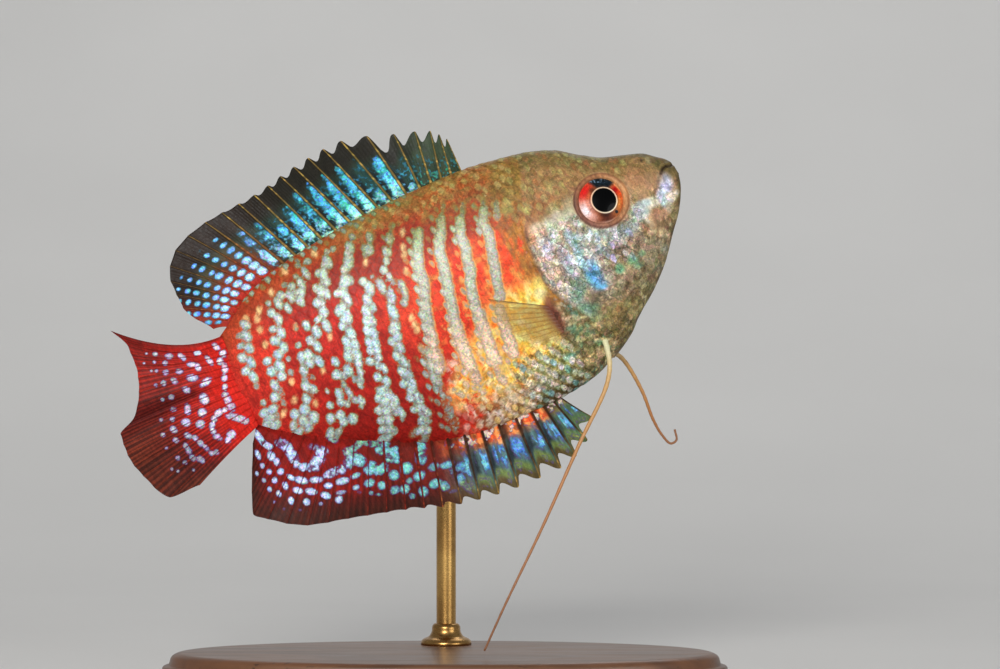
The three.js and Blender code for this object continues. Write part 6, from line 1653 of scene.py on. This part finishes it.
        # thin darker margins of the scales, partly their own colour and partly painted shade where each scale's free
        # edge lies over the next
        head = m.attr("head")
        mx = m.math("SUBTRACT", m.math("MULTIPLY", m.math("MULTIPLY", tile[1], tile[1]), 0.5 * PITCH_X / (PITCH_L * PITCH_L)), 0.62 * PITCH_X)
        rim = m.ramp(m.math("SUBTRACT", tile[0], mx), 0.26, 0.03)
        dark = m.math("MULTIPLY", m.math("MULTIPLY", rim, m.ramp(mid, 0.30, 0.56)), m.math("ADD", 0.12, m.math("MULTIPLY", head, m.ramp(sil, 0.55, 0.95, 0.02, 0.32))))
        colour = m.gain(colour, m.math("SUBTRACT", 1.0, dark))
    m.link(colour, m.shader.inputs["Base Color"])
    r = m.math("ADD", rough, m.math("MULTIPLY", m.math("SUBTRACT", cell, 0.5), 0.20))
    r = m.math("SUBTRACT", r, m.math("MULTIPLY", inner, rough - bar_rough))
    m.link(r, m.shader.inputs["Roughness"])
    m.link(m.math("MULTIPLY", m.math("MAXIMUM", inner, m.math("MULTIPLY", sil, 0.7)), 0.14), m.shader.inputs["Metallic"])
    height = m.math("ADD", m.math("MULTIPLY", cell, 0.35), m.math("MULTIPLY", fine, 0.65))
    height = m.math("ADD", height, m.math("MULTIPLY", streak, 0.4))
    if has_tile:
        rings = m.math("SINE", m.math("MULTIPLY", m.math("ADD", tile[0], m.math("MULTIPLY", m.math("MULTIPLY", tile[1], tile[1]), -0.5)), 46.0))
        height = m.math("ADD", height, m.math("MULTIPLY", rings, 0.08))
        height = m.math("ADD", height, m.math("MULTIPLY", inner, 0.30))
    if has_ray:
        lines = m.math("SINE", m.math("MULTIPLY", m.attr("along"), 2 * math.pi * 6))
        height = m.math("ADD", height, m.math("MULTIPLY", lines, 0.22))
        height = m.math("ADD", height, m.math("MULTIPLY", inner, 0.4))
    m.link(m.bump(height, 0.035, 0.8), m.shader.inputs["Normal"])
    m.shader.inputs["Specular IOR Level"].default_value = shine
    m.shader.inputs["Coat Weight"].default_value = 0.04
    m.shader.inputs["Coat Roughness"].default_value = 0.25
    return m.mat


def eye_material():
    m = Nodes("eye_glass")
    pupil = m.attr("pupil")
    n = m.noise(0.12, 2.0, 0.6)
    c = m.gain(m.attr("ground", "Color"), m.math("ADD", 0.82, m.math("MULTIPLY", n, 0.36)))
    m.link(c, m.shader.inputs["Base Color"])
    m.link(m.ramp(pupil, 0.0, 1.0, 0.42, 0.30), m.shader.inputs["Roughness"])
    m.shader.inputs["Specular IOR Level"].default_value = 0.05
    m.shader.inputs["Coat Weight"].default_value = 0.12
    m.shader.inputs["Coat Roughness"].default_value = 0.03
    return m.mat


def clear_material():
    m = Nodes("clear_web")
    n = m.noise(0.5, 3.0, 0.55)
    c = m.gain(m.attr("ground", "Color"), m.math("ADD", 0.78, m.math("MULTIPLY", n, 0.44)))
    m.link(c, m.shader.inputs["Base Color"])
    a = m.math("MULTIPLY", m.attr("solid"), m.math("ADD", 0.80, m.math("MULTIPLY", n, 0.4)), clamp=True)
    m.link(a, m.shader.inputs["Alpha"])
    m.shader.inputs["Roughness"].default_value = 0.32
    m.shader.inputs["Specular IOR Level"].default_value = 0.4
    m.link(m.bump(n, 0.03, 0.6), m.shader.inputs["Normal"])
    return m.mat


def feeler_material():
    m = Nodes("feeler_skin")
    n = m.noise(0.5, 3.0, 0.6)
    rings = m.math("SINE", m.math("MULTIPLY", m.attr("along"), 420.0))
    c = m.gain(m.attr("ground", "Color"), m.math("ADD", 0.80, m.math("MULTIPLY", n, 0.4)))
    m.link(c, m.shader.inputs["Base Color"])
    m.shader.inputs["Roughness"].default_value = 0.42
    m.link(m.bump(m.math("ADD", n, m.math("MULTIPLY", rings, 0.3)), 0.03, 0.7), m.shader.inputs["Normal"])
    return m.mat


def wood_material():
    m = Nodes("walnut")
    map_ = m.tree.nodes.new("ShaderNodeMapping")
    m.link(m.coord(), map_.inputs["Vector"])
    map_.inputs["Scale"].default_value = (0.16, 1.0, 1.0)
    grainy = m.noise(2.6, 5.0, 0.62, map_.outputs[0], 1.2)
    pores = m.noise(0.42, 3.0, 0.6, map_.outputs[0])
    wave = m.math("FRACT", m.math("MULTIPLY", m.noise(16.0, 2.0, 0.5, map_.outputs[0], 0.6), 7.0))
    ringy = m.ramp(m.math("ABSOLUTE", m.math("SUBTRACT", wave, 0.5)), 0.05, 0.5)
    c = m.mix(rgb((74, 46, 29)), rgb((128, 84, 52)), grainy)
    c = m.mix(c, rgb((52, 31, 20)), m.math("MULTIPLY", ringy, 0.42))
    dark = m.ramp(pores, 0.60, 0.72)
    c = m.mix(c, rgb((34, 20, 13)), m.math("MULTIPLY", dark, 0.7))
    m.link(c, m.shader.inputs["Base Color"])
    m.link(m.ramp(grainy, 0.2, 0.8, 0.34, 0.48), m.shader.inputs["Roughness"])
    m.link(m.bump(m.math("SUBTRACT", grainy, dark), 0.03, 0.5), m.shader.inputs["Normal"])
    m.shader.inputs["Coat Weight"].default_value = 0.25
    m.shader.inputs["Coat Roughness"].default_value = 0.25
    return m.mat


def brass_material():
    m = Nodes("brushed_brass")
    map_ = m.tree.nodes.new("ShaderNodeMapping")
    m.link(m.coord(), map_.inputs["Vector"])
    map_.inputs["Scale"].default_value = (1.0, 1.0, 7.0)
    n = m.noise(0.5, 3.0, 0.6, map_.outputs[0])
    stain = m.noise(6.0, 3.0, 0.6)
    c = m.mix(rgb((196, 156, 92)), rgb((168, 128, 74)), m.ramp(stain, 0.4, 0.7))
    m.link(c, m.shader.inputs["Base Color"])
    m.shader.inputs["Metallic"].default_value = 1.0
    m.link(m.ramp(n, 0.2, 0.8, 0.20, 0.36), m.shader.inputs["Roughness"])
    m.link(m.bump(n, 0.008, 0.5), m.shader.inputs["Normal"])
    return m.mat


def floor_material():
    m = Nodes("pale_floor")
    n = m.noise(60.0, 2.0, 0.5)
    m.link(m.mix(rgb((214, 213, 210)), rgb((222, 221, 218)), n), m.shader.inputs["Base Color"])
    m.shader.inputs["Roughness"].default_value = 0.7
    return m.mat


# ---------------------------------------------------------------- the model
def main():
    skin_mat = fish_material("fish_skin", (196, 176, 120), grain=0.18)
    coat_mat = fish_material("fish_scales", (206, 182, 120), has_tile=True, grain=0.19)
    dorsal_mat = fish_material("dorsal_web", (24, 92, 112), has_ray=True, grain=0.20, rough=0.46, sparkle=0.45, shine=0.12)
    red_mat = fish_material("red_web", (84, 66, 120), has_ray=True, grain=0.20, rough=0.50, sparkle=0.30, shine=0.10)

    skin = build_skin(skin_mat)
    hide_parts("head", "lower_jaw", "gill_cover_r", "gill_cover_l", "trunk", "tail_stalk")

    table = surface_table()
    for name, side, seed in (("scales_r", -1, 5), ("scales_l", 1, 17)):
        coat, n = build_coat(name, side, table, coat_mat, seed)
        print(name, n, "scales", len(coat.data.polygons))

    spines = lambda n, soft: (lambda u: ease(n + 1.2, n - 0.2, u))
    dorsal = build_fin("dorsal", dorsal_point, dorsal_paint, dorsal_ray_colour, 23, 64, lambda u: ease(17.0, 14.5, u), dorsal_mat, 21, 0.22, 0.10)
    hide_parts("dorsal_fin")
    anal = build_fin("anal", anal_point, anal_paint, anal_ray_colour, 22, 64, lambda u: ease(13.5, 10.5, u), red_mat, 23, 0.22, 0.10)
    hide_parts("anal_fin")
    tail = build_fin("tail", tail_point, tail_paint, tail_ray_colour, 15, 84, lambda u: 0 * u, red_mat, 25, 0.62, 0.28)
    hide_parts("tail_fin")

    clear = clear_material()
    for name, side, node in (("pectoral_r", -1, "pectoral_fin_r"), ("pectoral_l", 1, "pectoral_fin_l")):
        p = build_pectoral(name, side, clear)
        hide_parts(node)
    eye = eye_material()
    for name, side, node in (("eyeball_r", -1, "eye_r"), ("eyeball_l", 1, "eye_l")):
        e = build_eye(name, side, eye)
        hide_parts(node)
    thread = feeler_material()
    for name, line, node in (("thread_r", FEELER_R, "pelvic_feeler_r"), ("thread_l", FEELER_L, "pelvic_feeler_l")):
        t = build_feeler(name, line, thread)
        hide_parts(node)
    wood, brass = wood_material(), brass_material()
    foot = build_base(wood)
    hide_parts("stand_base")
    arm, collar, button = build_rod(brass, brass)
    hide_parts("stand_rod")


def stage():
    """A pale floor that runs up into a backdrop, soft studio lights and the camera."""
    prof = [(-0.9, 0.0), (0.16, 0.0)]
    for a in np.linspace(0, math.pi / 2, 24)[1:]:
        prof.append((0.16 + 0.55 * math.sin(a), 0.55 - 0.55 * math.cos(a)))
    prof.append((0.71, 1.6))
    pts = np.array([[x, y, z] for y, z in prof for x in np.linspace(-1.6, 1.6, 9)]) * 1000
    me_faces = quads(len(prof), 9)
    floor = make("floor", pts, [me_faces], None, None, None, None, floor_material(), local=False)
    me = floor.data
    if me.polygons[0].normal.z < 0:
        me.flip_normals()

    def light(name, at, aim, size, power, colour=(1, 1, 1)):
        data = bpy.data.lights.new(name, "AREA")
        data.shape, data.size, data.size_y, data.energy, data.color = "ELLIPSE", size[0], size[1], power, colour
        ob = bpy.data.objects.new(name, data)
        bpy.context.scene.collection.objects.link(ob)
        ob.location = at
        ob.rotation_mode = "QUATERNION"
        ob.rotation_quaternion = (Vector(aim) - Vector(at)).to_track_quat("-Z", "Y")

    middle = (0.0, 0.0, 0.042)
    light("key", (-0.14, -0.62, 0.26), middle, (0.26, 0.26), 3.1, (1.0, 0.985, 0.96))
    light("fill", (0.52, -0.48, 0.10), middle, (0.40, 0.40), 1.25, (0.98, 0.99, 1.0))
    light("back", (0.05, 0.45, 0.55), middle, (0.50, 0.25), 0.9)
    world = bpy.data.worlds.new("studio")
    world.use_nodes = True
    world.node_tree.nodes["Background"].inputs[0].default_value = (0.93, 0.95, 1.0, 1)
    world.node_tree.nodes["Background"].inputs[1].default_value = 0.30
    bpy.context.scene.world = world
    bpy.context.scene.view_settings.view_transform = "Standard"

    cam_data = bpy.data.cameras.new("camera")
    cam_data.lens, cam_data.sensor_width = 135.0, 36.0
    cam_data.clip_start, cam_data.clip_end = 0.01, 20
    cam = bpy.data.objects.new("camera", cam_data)
    bpy.context.scene.collection.objects.link(cam)
    cam.location = (0.0066, -0.450, 0.0421)
    cam.rotation_euler = (math.radians(90), 0, 0)
    bpy.context.scene.camera = cam


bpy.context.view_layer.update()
main()
stage()
